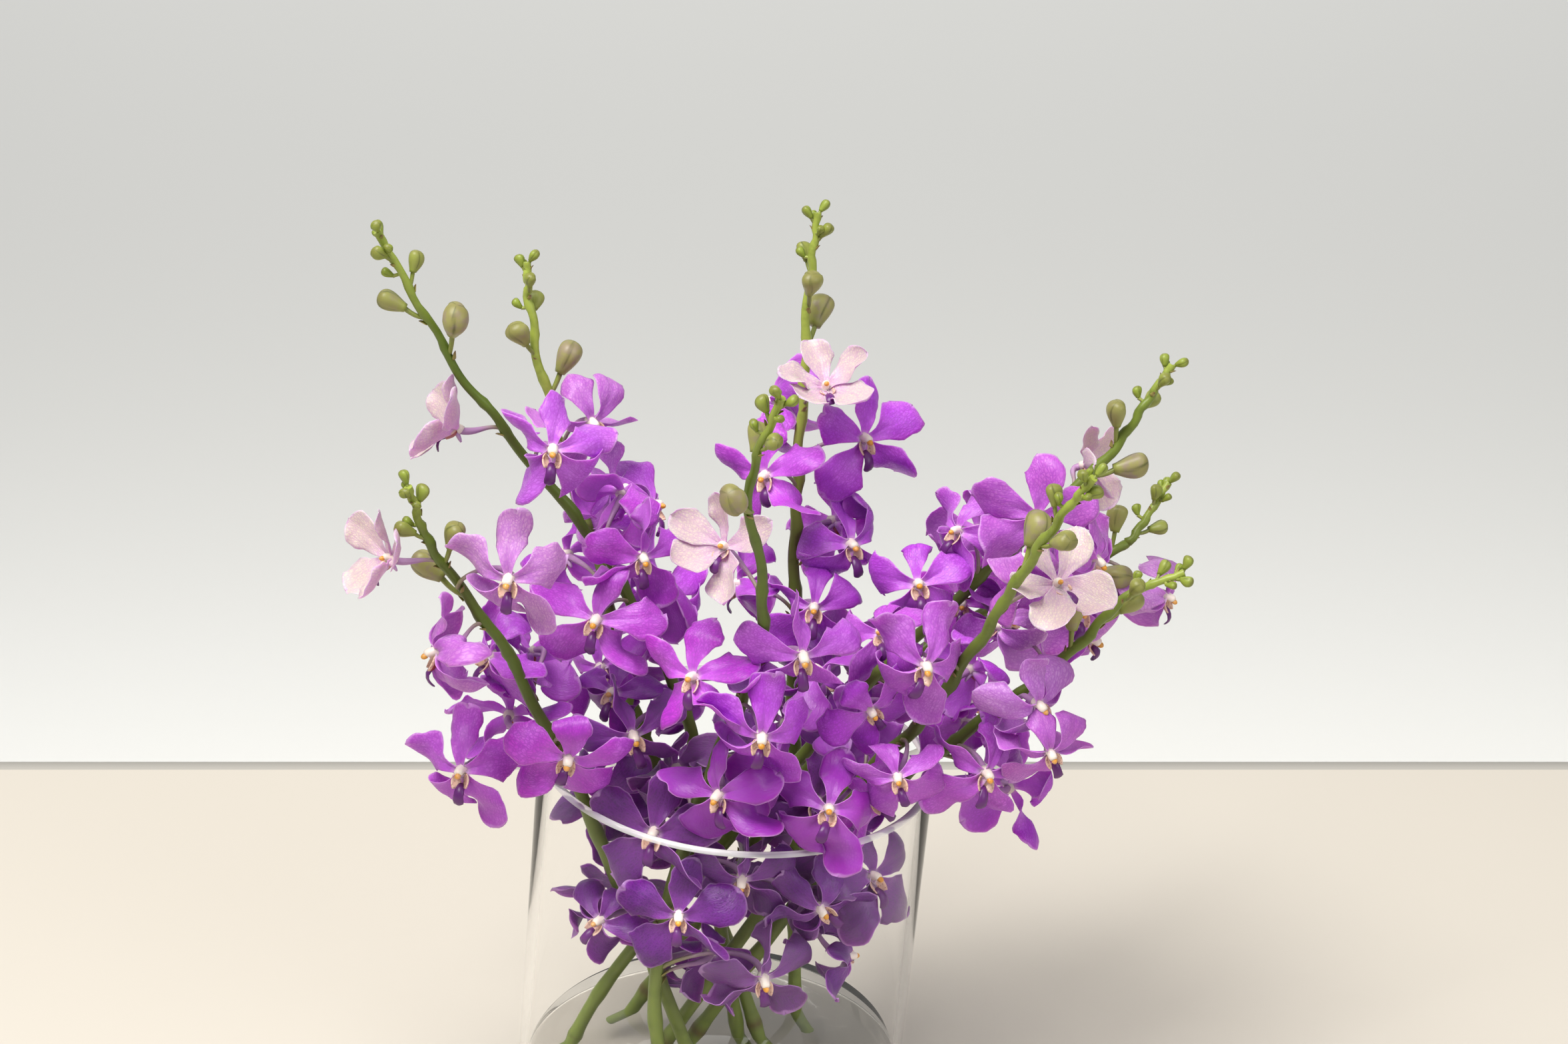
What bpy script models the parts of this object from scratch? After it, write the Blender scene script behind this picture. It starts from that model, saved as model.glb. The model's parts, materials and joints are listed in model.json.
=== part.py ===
"""Nine cut sprays of mokara orchid standing in a leaning cylinder vase of clear glass.

Metres, +Z up. The origin is the middle of the vase's foot, on the surface that it stands on.
+X is the side that the vase leans to, and -Y is the side that the sprays are seen from.
"""

from math import asin, atan2, cos, degrees, pi, radians, sin, sqrt, tau
from random import Random

import bmesh
import bpy
from mathutils import Matrix, Vector
from mathutils.bvhtree import BVHTree

MM = 0.001
UP = Vector((0, 0, 1))

# The vase, in millimetres along and across its own leaning axis
VASE_RADIUS = 95.0
VASE_HEIGHT = 200.0
VASE_LEAN = radians(5.0)
WALL = 4.0
FLOOR = 16.0
FLOOR_CORNER = 11.0
VASE_SIDES = 32
CORNER_STEPS = 2
FOOT_BEVEL = 1.5

# The stems, in millimetres
FOOT_GAP = 0.3
STEM_RADIUS_FOOT = 2.8
STEM_RADIUS_TIP = 1.3
STEM_STEP = 34.0
STEM_SIDES = 6
CLEARANCE = 0.3

# Each spray. "stem" holds the points in millimetres that its stem passes through, from the cut end up.
# "seen" holds the flowers that stand out from the front: the place of the heart in millimetres, the way
# that it faces in degrees (turn to the right, rise), its roll in degrees and its form. "rest" says where
# the others go: the lengths along the stem of the lowest and the highest, how many, and the turn of the
# first round the stem.
SPRAYS = {
    "spray_left_tall": {
        "stem": [(19, 14, 0), (8, -2, 110), (-3, -8, 200), (-13, -15, 250), (-47, -19, 320), (-83, -23, 373),
                 (-109, -26, 414), (-138, -30, 474)],
        "seen": [((-106, -30, 380), -75, 20, 20, "pale"), ((-63, -48, 378), 15, -5, -10, "flat"),
                 ((-36, 6, 333), 170, 8, 0, "arched"), ((-45, -47, 294), -10, -4, 0, "flat"),
                 ((-30, -46, 234), 8, 5, 10, "arched"), ((-36, -26, 146), -25, -10, 40, "arched")],
        "rest": (100, 300, 6, 30),
    },
    "spray_left_back": {
        "stem": [(34, 4, 0), (2, 24, 110), (-30, 32, 195), (-51, 44, 284), (-70, 58, 350), (-80, 67, 400),
                 (-81, 70, 424)],
        "seen": [((-52, 40, 356), 25, 10, 0, "flat"), ((-24, 48, 308), 60, 5, 0, "arched"),
                 ((-21, 28, 267), 20, 5, 0, "flat")],
        "rest": (112, 310, 6, 80),
    },
    "spray_left_low": {
        "stem": [(4, -30, 0), (-24, -33, 105), (-56, -38, 198), (-70, -45, 239), (-84, -55, 278),
                 (-105, -65, 317), (-118, -73, 348), (-124, -80, 374)],
        "seen": [((-133, -76, 338), -60, 25, 20, "pale"), ((-80, -95, 337), 2, -4, 0, "flat"),
                 ((-113, -87, 297), -70, 0, 0, "flat"), ((-95, -32, 268), -60, 15, 0, "arched"),
                 ((-90, -24, 232), 165, 10, 0, "flat"), ((-108, -62, 224), -15, 8, 24, "flat"),
                 ((-58, -74, 238), 0, -4, 0, "flat"), ((-46, -10, 181), 0, 0, 36, "flat")],
        "rest": (110, 250, 3, 200),
    },
    "spray_centre_back": {
        "stem": [(46, 30, 0), (45, 46, 110), (45, 56, 200), (46, 64, 274), (48, 75, 332), (52, 88, 400),
                 (56, 95, 440)],
        "seen": [((60, 58, 364), 5, 55, 0, "pale"), ((36, 100, 340), -120, 10, 0, "flat"),
                 ((78, 70, 334), 45, 20, 0, "flat"), ((32, 50, 325), -20, 2, 0, "flat"),
                 ((72, 50, 287), 25, 0, 20, "arched"), ((56, 36, 262), 0, 4, 0, "flat")],
        "rest": (90, 270, 6, 120),
    },
    "spray_centre_front": {
        "stem": [(-14, -46, 0), (-22, -48, 95), (-6, -46, 178), (10, -58, 229), (30, -78, 300),
                 (28, -94, 350), (26, -106, 390), (39, -120, 432)],
        "seen": [((14, -70, 340), -35, 40, 0, "pale"), ((48, -84, 294), 12, -10, 0, "arched"),
                 ((30, -100, 262), 5, -5, 0, "flat"), ((12, -86, 226), -5, 2, 0, "flat"),
                 ((20, -66, 171), 10, -8, 0, "arched"), ((-10, -72, 156), -12, -4, 0, "flat"),
                 ((53, -64, 150), 30, -2, 30, "flat"), ((30, -62, 113), 5, -20, 0, "arched"),
                 ((-20, -66, 194), -12, -8, 0, "flat")],
        "rest": (85, 260, 5, 300),
    },
    "spray_right_top": {
        "stem": [(-72, 4, 0), (-40, 6, 80), (60, 20, 203), (108, 26, 255), (155, 33, 299), (191, 41, 335),
                 (210, 46, 361), (223, 50, 380)],
        "seen": [((119, 18, 313), -50, 0, 0, "flat"), ((158, 10, 320), 10, 10, 0, "flat"),
                 ((103, 2, 288), -10, 15, 0, "arched"), ((186, 62, 322), 60, 20, 0, "pale"),
                 ((-46, -4, 118), 175, 5, 0, "flat")],
        "rest": (150, 365, 7, 60),
    },
    "spray_right_back": {
        "stem": [(-46, 32, 0), (10, 38, 105), (72, 44, 196), (120, 52, 238), (193, 70, 269), (212, 77, 280),
                 (229, 90, 302)],
        "seen": [((184, 42, 258), 30, 0, 0, "flat"), ((190, 60, 232), 60, -10, 0, "arched")],
        "rest": (120, 345, 8, 10),
    },
    "spray_right_front": {
        "stem": [(-36, -16, 0), (20, -20, 110), (78, -34, 206), (105, -45, 242), (128, -63, 290),
                 (146, -80, 335), (160, -92, 365), (173, -100, 387)],
        "seen": [((162, -62, 318), 40, 25, 0, "pale"), ((103, -78, 286), 8, 4, 0, "flat"),
                 ((78, -70, 262), 0, 2, 0, "flat"), ((86, -84, 234), 14, 10, 15, "arched"),
                 ((60, -92, 220), 5, 38, -20, "flat")],
        "rest": (100, 330, 7, 150),
    },
    "spray_right_low": {
        "stem": [(-20, -2, 0), (30, -12, 100), (86, -36, 196), (124, -42, 232), (150, -41, 254),
                 (178, -40, 280), (196, -40, 302), (222, -40, 314)],
        "seen": [((152, -68, 260), 25, 0, 0, "flat"), ((146, -30, 198), 160, 5, 180, "arched"),
                 ((132, -68, 226), 5, -5, 0, "flat"), ((82, -40, 155), 50, -5, 0, "flat")],
        "rest": (110, 310, 7, 250),
    },
}

# One flower, in millimetres. Its heart is a six-sided prism, and each side is drawn out into a sepal, a
# petal or the lip: (angle of the side, angle that the blade turns to, length, half width), from the front
BLADES = [(90, 90, 27, 8.0), (150, 160, 29, 9.5), (210, 230, 29, 11.5), (330, 310, 29, 11.5),
          (30, 20, 29, 9.5)]
# Ways that a flower opens: the rise of its blades towards the front, how far they arch back, and their twist
FORMS = {"flat": (0.16, -0.30, 10), "arched": (0.12, -0.52, -14), "pale": (0.55, -0.10, 8)}
HEART_RADIUS = 3.0
HEART_DEPTH = 2.6
# Steps that a blade is drawn out in: (share of its length, share of its half width, half thickness)
BLADE_STEPS = [(0.66, 1.0, 0.5), (1.0, 0.46, 0.0)]
# The lip's tip: (distance below the heart, distance in front of it, half width, half thickness)
LIP_STEPS = [(13.5, 5.5, 2.2, 0.0)]
COLUMN_HEIGHT = 6.0
PEDICEL_RADIUS = 1.15
PEDICEL_OUT = 27.0
PEDICEL_UP = 13.0
PEDICEL_STEPS = 2
FLOWER_TURN = 137.5
SEED = 11
TRIES = 60
NUDGES = (0, 13, -13, 26, -26)

# Buds from the tip downwards: (distance from the tip, length, length of stalk), in millimetres
BUDS = [(1, 6.5, 1), (6, 6.5, 3), (15, 8, 4), (30, 10, 6), (46, 13.5, 9), (66, 17, 11)]
BUD_TURN = 150
# A bud's rings from its stalk to its blunt end: (share of its length, share of its length as radius)
BUD_RINGS = [(0.0, 0.10), (0.42, 0.36), (0.86, 0.30)]
BUD_SIDES = 5

# The water, in millimetres above the table
WATER_LEVEL = 34.0
WATER_GAP = 0.4
HOLE_GAP = 0.6

COLOURS = {
    "glass": ((0.86, 0.90, 0.89), 0.04),
    "petal": ((0.29, 0.07, 0.55), 0.55),
    "stem": ((0.16, 0.24, 0.04), 0.50),
    "bud": ((0.32, 0.35, 0.11), 0.50),
    "water": ((0.80, 0.86, 0.86), 0.02),
}


def curve_point(points, share):
    """A point on the smooth curve through points, a Catmull-Rom spline, at a share of its spans."""
    spans = len(points) - 1
    i = min(int(share * spans), spans - 1)
    t = share * spans - i
    p0 = points[i - 1] if i else 2 * points[0] - points[1]
    p3 = points[i + 2] if i + 2 <= spans else 2 * points[-1] - points[-2]
    p1, p2 = points[i], points[i + 1]
    return 0.5 * (2 * p1 + (p2 - p0) * t + (2 * p0 - 5 * p1 + 4 * p2 - p3) * t**2
                  + (3 * p1 - p0 - 3 * p2 + p3) * t**3)


class Stem:
    """One stem: straight stretches along the smooth curve through its points, read by length."""

    def __init__(self, points):
        places = [Vector(p) for p in points]
        foot = places[0]
        tilt = (places[1] - foot).normalized()
        edge = STEM_RADIUS_FOOT * (sqrt(1 - tilt.z**2) + abs(sin(VASE_LEAN)))
        foot.z = FLOOR / cos(VASE_LEAN) - foot.x * sin(VASE_LEAN) / cos(VASE_LEAN) + FOOT_GAP + edge
        steps = round(sum((b - a).length for a, b in zip(places, places[1:])) / STEM_STEP)
        self.line = [curve_point(places, k / steps) for k in range(steps + 1)]
        self.along = [0.0]
        for a, b in zip(self.line, self.line[1:]):
            self.along.append(self.along[-1] + (b - a).length)
        self.length = self.along[-1]

    def at(self, length):
        length = min(max(length, 0.0), self.length)
        k = next(i for i in range(1, len(self.along)) if self.along[i] >= length or i == len(self.along) - 1)
        t = (length - self.along[k - 1]) / (self.along[k] - self.along[k - 1])
        return self.line[k - 1].lerp(self.line[k], t)

    def nearest(self, place):
        return min(range(int(self.length)), key=lambda x: (self.at(x) - place).length)

    def direction(self, length):
        return (self.at(length + 12) - self.at(length - 12)).normalized()

    def radius(self, length):
        return STEM_RADIUS_FOOT + (STEM_RADIUS_TIP - STEM_RADIUS_FOOT) * (length / self.length) ** 1.5

    def outward(self, length, turn):
        """A direction square to the stem. A turn of 0 degrees points to the front."""
        ahead = self.direction(length)
        side = ahead.cross(Vector((0, -1, 0))).normalized()
        front = side.cross(ahead).normalized()
        return front * cos(radians(turn)) + side * sin(radians(turn))

    def path(self):
        return self.line, [self.radius(x) for x in self.along]


def tube_mesh(path, radii, sides):
    """Corners and faces of a tube along path, used to test what it would touch."""
    corners, faces = [], []
    for k, centre in enumerate(path):
        ahead = (path[min(k + 1, len(path) - 1)] - path[max(k - 1, 0)]).normalized()
        across = ahead.orthogonal() if k == 0 else across - ahead * across.dot(ahead)
        across.normalize()
        other = ahead.cross(across)
        for j in range(sides):
            turn = tau * j / sides
            corners.append(centre + (across * cos(turn) + other * sin(turn)) * radii[k])
        if k:
            base = (k - 1) * sides
            for j in range(sides):
                n = (j + 1) % sides
                faces.append((base + j, base + n, base + sides + n, base + sides + j))
    faces.append(tuple(range(sides))[::-1])
    faces.append(tuple(range(len(corners) - sides, len(corners))))
    return corners, faces


def blade_point(blade, form, share, across, lift=0.0):
    """A point on a petal or sepal: share runs from the flower's heart to the tip, across from -1 to 1."""
    angle, length, half_width = blade
    rise, arch, twist = FORMS[form]
    out = Vector((cos(radians(angle)), sin(radians(angle)), 0))
    side = Vector((-out.y, out.x, 0))
    z = length * (rise * share + arch * share**2)
    turn = radians(twist) * share * (1 if angle > 90 else -1)
    width = half_width * across
    return out * length * share + side * width * cos(turn) + UP * (z + width * sin(turn) + lift)


def flower_shape(form, margin=0.0):
    """One open flower facing +Z with its heart at the origin: a prism, each side drawn out into a blade."""
    shape = bmesh.new()
    bmesh.ops.create_cone(shape, cap_ends=True, segments=6, radius1=HEART_RADIUS + margin,
                          radius2=HEART_RADIUS + margin, depth=HEART_DEPTH + 2 * margin,
                          matrix=Matrix.Rotation(radians(30), 4, "Z"))
    shape.normal_update()
    upright = [f for f in shape.faces if abs(f.normal.z) < 0.5]
    sides = {round(degrees(atan2(f.normal.y, f.normal.x))) % 360: f for f in upright}
    for side_angle, angle, length, half_width in BLADES:
        blade = (angle, length + margin, half_width + margin)
        rings = []
        for share, across, lift in BLADE_STEPS:
            rings.append({(x, z): blade_point(blade, form, share, x * across, z * (lift + margin))
                          for x in (-1, 1) for z in (-1, 1)})
        draw_out(shape, sides[side_angle], rings)
    rings = []
    for down, front, half_width, lift in LIP_STEPS:
        rings.append({(x, z): Vector((x * (half_width + margin), -down - margin, front + z * (lift + margin)))
                      for x in (-1, 1) for z in (-1, 1)})
    draw_out(shape, sides[270], rings)
    top = max(shape.faces, key=lambda f: f.normal.z + f.calc_center_median().z * (abs(f.normal.z) > 0.99))
    bmesh.ops.poke(shape, faces=[top], offset=COLUMN_HEIGHT + margin)
    bmesh.ops.remove_doubles(shape, verts=shape.verts, dist=0.01)
    bmesh.ops.triangulate(shape, faces=shape.faces)
    return shape


def draw_out(shape, face, rings):
    """Draws a four-sided face out through rings of corners, each found by its side (x) and level (z)."""
    across = UP.cross(face.normal)
    places = [(v.co.copy(), (1 if v.co.dot(across) > 0 else -1, 1 if v.co.z > 0 else -1)) for v in face.verts]
    for ring in rings:
        face = bmesh.ops.extrude_discrete_faces(shape, faces=[face])["faces"][0]
        places = [(v, min(places, key=lambda p: (p[0] - v.co).length)[1]) for v in face.verts]
        for corner, key in places:
            corner.co = ring[key]
        places = [(v.co.copy(), key) for v, key in places]


def bud_shape(length, stalk, margin=0.0):
    """One bud along +Z with its stalk: a sphere drawn out, narrow at its stalk and blunt at its end."""
    shape = bmesh.new()
    bmesh.ops.create_uvsphere(shape, u_segments=BUD_SIDES, v_segments=len(BUD_RINGS) + 1, radius=1)
    corners = sorted(shape.verts, key=lambda v: v.co.z)
    corners[0].co = Vector((0, 0, -stalk))
    corners[-1].co = Vector((0, 0, length + margin))
    for k, (share, radius) in enumerate(BUD_RINGS):
        for corner in corners[1 + k * BUD_SIDES:1 + (k + 1) * BUD_SIDES]:
            flat = corner.co.xy.normalized() * (radius * length + margin)
            corner.co = Vector((flat.x, flat.y, share * length))
    bmesh.ops.triangulate(shape, faces=shape.faces)
    return shape


def read_mesh(shape):
    """The corners and faces of a bmesh, which is then freed."""
    shape.verts.index_update()
    corners = [v.co.copy() for v in shape.verts]
    faces = [tuple(v.index for v in face.verts) for face in shape.faces]
    shape.free()
    return corners, faces


def joined(meshes):
    corners, faces = [], []
    for more, their_faces in meshes:
        base = len(corners)
        corners += more
        faces += [tuple(base + i for i in face) for face in their_faces]
    return corners, faces


def moved(mesh, matrix):
    corners, faces = mesh
    return [matrix @ p for p in corners], faces


class Space:
    """What has been placed so far, and whether a new piece would touch it."""

    def __init__(self):
        self.placed = []

    def keep(self, mesh):
        corners, faces = mesh
        low = Vector(min(p[i] for p in corners) for i in range(3))
        high = Vector(max(p[i] for p in corners) for i in range(3))
        self.placed.append((low, high, BVHTree.FromPolygons(corners, faces)))

    def clear(self, mesh):
        corners, faces = mesh
        low = Vector(min(p[i] for p in corners) for i in range(3))
        high = Vector(max(p[i] for p in corners) for i in range(3))
        tree = BVHTree.FromPolygons(corners, faces)
        for other_low, other_high, other in self.placed:
            apart = any(low[i] > other_high[i] or high[i] < other_low[i] for i in range(3))
            if not apart and tree.overlap(other):
                return False
        return True


def vase_profile():
    """Half of the vase's upright section in millimetres, as (radius, height): its outside and its inside."""
    inner = VASE_RADIUS - WALL
    rim = [(VASE_RADIUS - WALL / 2 + WALL / 2 * cos(a), VASE_HEIGHT - WALL / 2 + WALL / 2 * sin(a))
           for a in (pi * 0.5, pi * 0.25, 0.0)]
    below = 2 * VASE_RADIUS * sin(VASE_LEAN)
    corner = []
    for k in range(CORNER_STEPS + 1):
        a = pi / 2 * k / CORNER_STEPS
        corner.append((inner - FLOOR_CORNER * (1 - sin(a)), FLOOR + FLOOR_CORNER * (1 - cos(a))))
    turn = pi / 4
    inside = [(inner, VASE_HEIGHT - WALL / 2),
              (inner + WALL / 2 * (1 - cos(turn)), VASE_HEIGHT - WALL / 2 * (1 - sin(turn)))]
    return [*rim, (VASE_RADIUS, -below), (0, -below)], [(0, FLOOR), *corner, *inside]


def vase_mesh(grow):
    """The vase leaning and grown a little all over, only to test what would touch it."""
    outside, inside = vase_profile()
    rim = Vector((VASE_RADIUS - WALL / 2, VASE_HEIGHT - WALL / 2))
    section = []
    for r, z in [*outside[:-1], *inside[1:]]:
        if z > rim.y - 0.01:
            away = Vector((r, z)) - rim
            section.append(rim + away * (1 + 1.15 * grow / away.length))
        elif r > VASE_RADIUS - 0.01:
            section.append(Vector((r + grow, z)))
        else:
            section.append(Vector((r - grow, z + grow)))
    corners, faces = [], []
    lean = Matrix.Rotation(VASE_LEAN, 4, "Y")
    count = len(section)
    for j in range(VASE_SIDES):
        a = tau * j / VASE_SIDES
        corners += [lean @ Vector((r * cos(a), r * sin(a), z)) for r, z in section]
        n = (j + 1) % VASE_SIDES
        for k in range(count):
            following = (k + 1) % count
            faces.append((j * count + k, n * count + k, n * count + following, j * count + following))
    return corners, faces


def facing_way(turn, rise):
    """The direction for a turn to the right from the front and a rise, both in degrees."""
    flat = cos(radians(rise))
    return Vector((sin(radians(turn)) * flat, -cos(radians(turn)) * flat, sin(radians(rise))))


def flower_frame(heart, turn, rise, roll, size):
    """The matrix that puts a flower's heart in its place and turns its front the way that it faces."""
    facing = facing_way(turn, rise)
    side = UP.cross(facing).normalized()
    matrix = Matrix((side, facing.cross(side), facing)).transposed().to_4x4()
    return Matrix.Translation(heart) @ matrix @ Matrix.Rotation(radians(roll), 4, "Z") @ Matrix.Scale(size, 4)


def flower_stalk(stem, heart, length, turn, rise, size):
    """The four points of the curve of a flower's stalk, from the stem's line to inside the flower's heart."""
    root, facing = stem.at(length), facing_way(turn, rise)
    away = heart - root
    bend = away.length * 0.4
    end = heart - facing * 0.4 * size
    lift = (away.normalized() + stem.direction(length) * 0.8).normalized()
    return [root, root + lift * bend, end - facing * bend, end]


def bezier(points, share):
    a, b, c, d = points
    t, r = share, 1 - share
    return a * r**3 + b * 3 * r * r * t + c * 3 * r * t * t + d * t**3


def stalk_path(stalk, steps):
    return [bezier(stalk, k / steps) for k in range(steps + 1)]


def bud_frame(stem, distance, turn, stalk):
    """The matrix that puts a bud in its place, and the length of its stalk down to the stem's line."""
    at = stem.length - distance
    root, ahead, away = stem.at(at), stem.direction(at), stem.outward(at, turn)
    axis = (ahead * 0.75 + away * 0.75 + UP * 0.2).normalized()
    side = axis.orthogonal().normalized()
    matrix = Matrix((side, axis.cross(side), axis)).transposed().to_4x4()
    return Matrix.Translation(root + axis * (stalk + stem.radius(at))) @ matrix, stalk + stem.radius(at)


def plan():
    """Chooses a place for each bud and flower, so that none runs through another or through the vase."""
    stems = {name: Stem(spray["stem"]) for name, spray in SPRAYS.items()}
    space = Space()
    space.keep(vase_mesh(CLEARANCE))
    for name, stem in stems.items():
        path, radii = stem.path()
        tube = tube_mesh(path, [r + CLEARANCE for r in radii], STEM_SIDES)
        if not space.clear(tube):
            print("stem touches its neighbour:", name)
        space.keep(tube)
    buds = {name: [] for name in SPRAYS}
    flowers = {name: [] for name in SPRAYS}
    for name, stem in stems.items():
        for k, (distance, length, stalk) in enumerate(BUDS):
            for extra in range(0, 360, 24):
                turn = SPRAYS[name]["rest"][3] + k * BUD_TURN + extra
                matrix, root = bud_frame(stem, distance, turn, stalk)
                proxy = moved(read_mesh(bud_shape(length, -1.5, CLEARANCE)), matrix)
                if space.clear(proxy):
                    space.keep(proxy)
                    buds[name].append((matrix, length, root))
                    break
            else:
                print("no room for bud", k, "of", name)
    blooms = {form: read_mesh(flower_shape(form, CLEARANCE)) for form in FORMS}
    seen = [(flower[0][1], name, flower) for name, spray in SPRAYS.items() for flower in spray["seen"]]
    for k, (depth, name, (place, turn, rise, roll, form)) in enumerate(sorted(seen)):
        heart = Vector(place)
        length = stems[name].nearest(heart) - PEDICEL_UP
        chance = Random(SEED + k)
        found = place_flower(stems[name], heart, length, (turn, rise, roll), form, 0.4, chance, space, blooms)
        if found:
            flowers[name].append(found)
        else:
            print("no room for the flower seen at", place, "of", name)
    most = max(spray["rest"][2] for spray in SPRAYS.values())
    for rank in range(most):
        for number, (name, spray) in enumerate(SPRAYS.items()):
            low, high, count, first = spray["rest"]
            if rank >= count:
                continue
            stem = stems[name]
            chance = Random(SEED + 1000 * number + rank)
            form = chance.choice(["flat", "arched"])
            for nudge in NUDGES:
                length = high - (high - low) * rank / (count - 1) + nudge
                away = stem.outward(length, first + rank * FLOWER_TURN + 3 * nudge)
                heart = stem.at(length) + away * PEDICEL_OUT + stem.direction(length) * PEDICEL_UP
                faces = (degrees(atan2(away.x, -away.y)), degrees(asin(away.z)) * 0.5 + 6, 0)
                found = place_flower(stem, heart, length, faces, form, 1.0, chance, space, blooms)
                if found:
                    flowers[name].append(found)
                    break
            else:
                print("no room for flower", rank, "of", name)
    return stems, buds, flowers


def place_flower(stem, heart, length, faces, form, freedom, chance, space, blooms):
    """Tries the flower's own place first, then moves, turns and shrinks it a little until it is clear."""
    turn, rise, roll = faces
    size = 0.85 if form == "pale" else 1.0
    for attempt in range(TRIES):
        loose = freedom * attempt / TRIES
        angle = [turn + chance.uniform(-70, 70) * loose, rise + chance.uniform(-35, 35) * loose]
        angle.append(roll + chance.uniform(-60, 60) * loose)
        shift = Vector([chance.uniform(-18, 18) * loose for axis in range(3)])
        scale = size * (1.0 - 0.16 * attempt / TRIES)
        matrix = flower_frame(heart + shift, *angle, scale)
        stalk = flower_stalk(stem, heart + shift, length, angle[0], angle[1], scale)
        path = stalk_path(stalk, PEDICEL_STEPS)
        covered = stem.radius(length) + PEDICEL_RADIUS + 2.5 * CLEARANCE
        path[0] = path[0].lerp(path[1], min(0.9, covered / (path[1] - path[0]).length))
        tube = tube_mesh(path, [PEDICEL_RADIUS + CLEARANCE] * len(path), 4)
        proxy = joined([moved(blooms[form], matrix), tube])
        if space.clear(proxy):
            space.keep(proxy)
            return matrix, stalk, form
    return None


def material(name):
    colour, roughness = COLOURS[name]
    made = bpy.data.materials.get(name) or bpy.data.materials.new(name)
    made.use_nodes = True
    shader = made.node_tree.nodes["Principled BSDF"]
    shader.inputs["Base Color"].default_value = (*colour, 1)
    shader.inputs["Roughness"].default_value = roughness
    return made


def tube_object(name, path, radii, sides, colour, collection):
    """A tube along path: a curve with a bevel, made a closed mesh."""
    curve = bpy.data.curves.new(name, "CURVE")
    curve.dimensions = "3D"
    curve.bevel_depth = MM
    curve.bevel_resolution = (sides - 4) // 2
    curve.use_fill_caps = True
    spline = curve.splines.new("POLY")
    spline.points.add(len(path) - 1)
    for point, place, radius in zip(spline.points, path, radii):
        point.co = (*(place * MM), 1)
        point.radius = radius
    guide = bpy.data.objects.new(name + "_guide", curve)
    bpy.context.scene.collection.objects.link(guide)
    bpy.context.view_layer.update()
    mesh = bpy.data.meshes.new_from_object(guide.evaluated_get(bpy.context.evaluated_depsgraph_get()))
    bpy.data.objects.remove(guide)
    shape = bmesh.new()
    shape.from_mesh(mesh)
    bmesh.ops.remove_doubles(shape, verts=shape.verts, dist=0.00001)
    bmesh.ops.recalc_face_normals(shape, faces=shape.faces)
    shape.to_mesh(mesh)
    shape.free()
    mesh.materials.clear()
    mesh.materials.append(material(colour))
    made = bpy.data.objects.new(name, mesh)
    collection.objects.link(made)
    return made


def shape_object(name, shape, matrix, colour, collection):
    """An object from a bmesh in millimetres, put in its place by matrix."""
    bmesh.ops.transform(shape, matrix=Matrix.Scale(MM, 4) @ matrix, verts=shape.verts)
    bmesh.ops.recalc_face_normals(shape, faces=shape.faces)
    mesh = bpy.data.meshes.new(name)
    shape.to_mesh(mesh)
    shape.free()
    mesh.materials.append(material(colour))
    made = bpy.data.objects.new(name, mesh)
    collection.objects.link(made)
    return made


def turned_object(name, section, colour, collection):
    """A solid turned from half of its section, in millimetres, and leaned over as the vase is."""
    mesh = bpy.data.meshes.new(name)
    edges = [(k, k + 1) for k in range(len(section) - 1)]
    mesh.from_pydata([(r * MM, 0, z * MM) for r, z in section], edges, [])
    made = bpy.data.objects.new(name, mesh)
    collection.objects.link(made)
    turned = made.modifiers.new("turned", "SCREW")
    turned.steps = turned.render_steps = VASE_SIDES
    turned.use_merge_vertices = True
    turned.merge_threshold = 0.00001
    bpy.context.view_layer.update()
    shape = bmesh.new()
    shape.from_mesh(made.evaluated_get(bpy.context.evaluated_depsgraph_get()).to_mesh())
    made.modifiers.clear()
    bmesh.ops.remove_doubles(shape, verts=shape.verts, dist=0.00001)
    bmesh.ops.transform(shape, matrix=Matrix.Rotation(VASE_LEAN, 4, "Y"), verts=shape.verts)
    mesh.materials.append(material(colour))
    return made, shape


def cut_level(shape, height, keep_above):
    """Cuts a solid level at a height in millimetres and closes it there. Gives the edges round the cut."""
    everything = [*shape.verts, *shape.edges, *shape.faces]
    normal = (0, 0, -1) if keep_above else (0, 0, 1)
    cut = bmesh.ops.bisect_plane(shape, geom=everything, plane_co=(0, 0, height * MM), plane_no=normal,
                                 clear_outer=True)
    edges = [item for item in cut["geom_cut"] if isinstance(item, bmesh.types.BMEdge)]
    bmesh.ops.contextual_create(shape, geom=edges)
    bmesh.ops.recalc_face_normals(shape, faces=shape.faces)
    return edges


def make_vase(collection):
    """The vase: a turned section, leaned over and ground flat where it stands."""
    outside, inside = vase_profile()
    vase, shape = turned_object("vase", [*inside, *outside], "glass", collection)
    foot = cut_level(shape, 0, keep_above=True)
    bmesh.ops.bevel(shape, geom=foot, offset=FOOT_BEVEL * MM, segments=1, affect="EDGES", profile=0.5)
    shape.to_mesh(vase.data)
    shape.free()
    return vase


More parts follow.
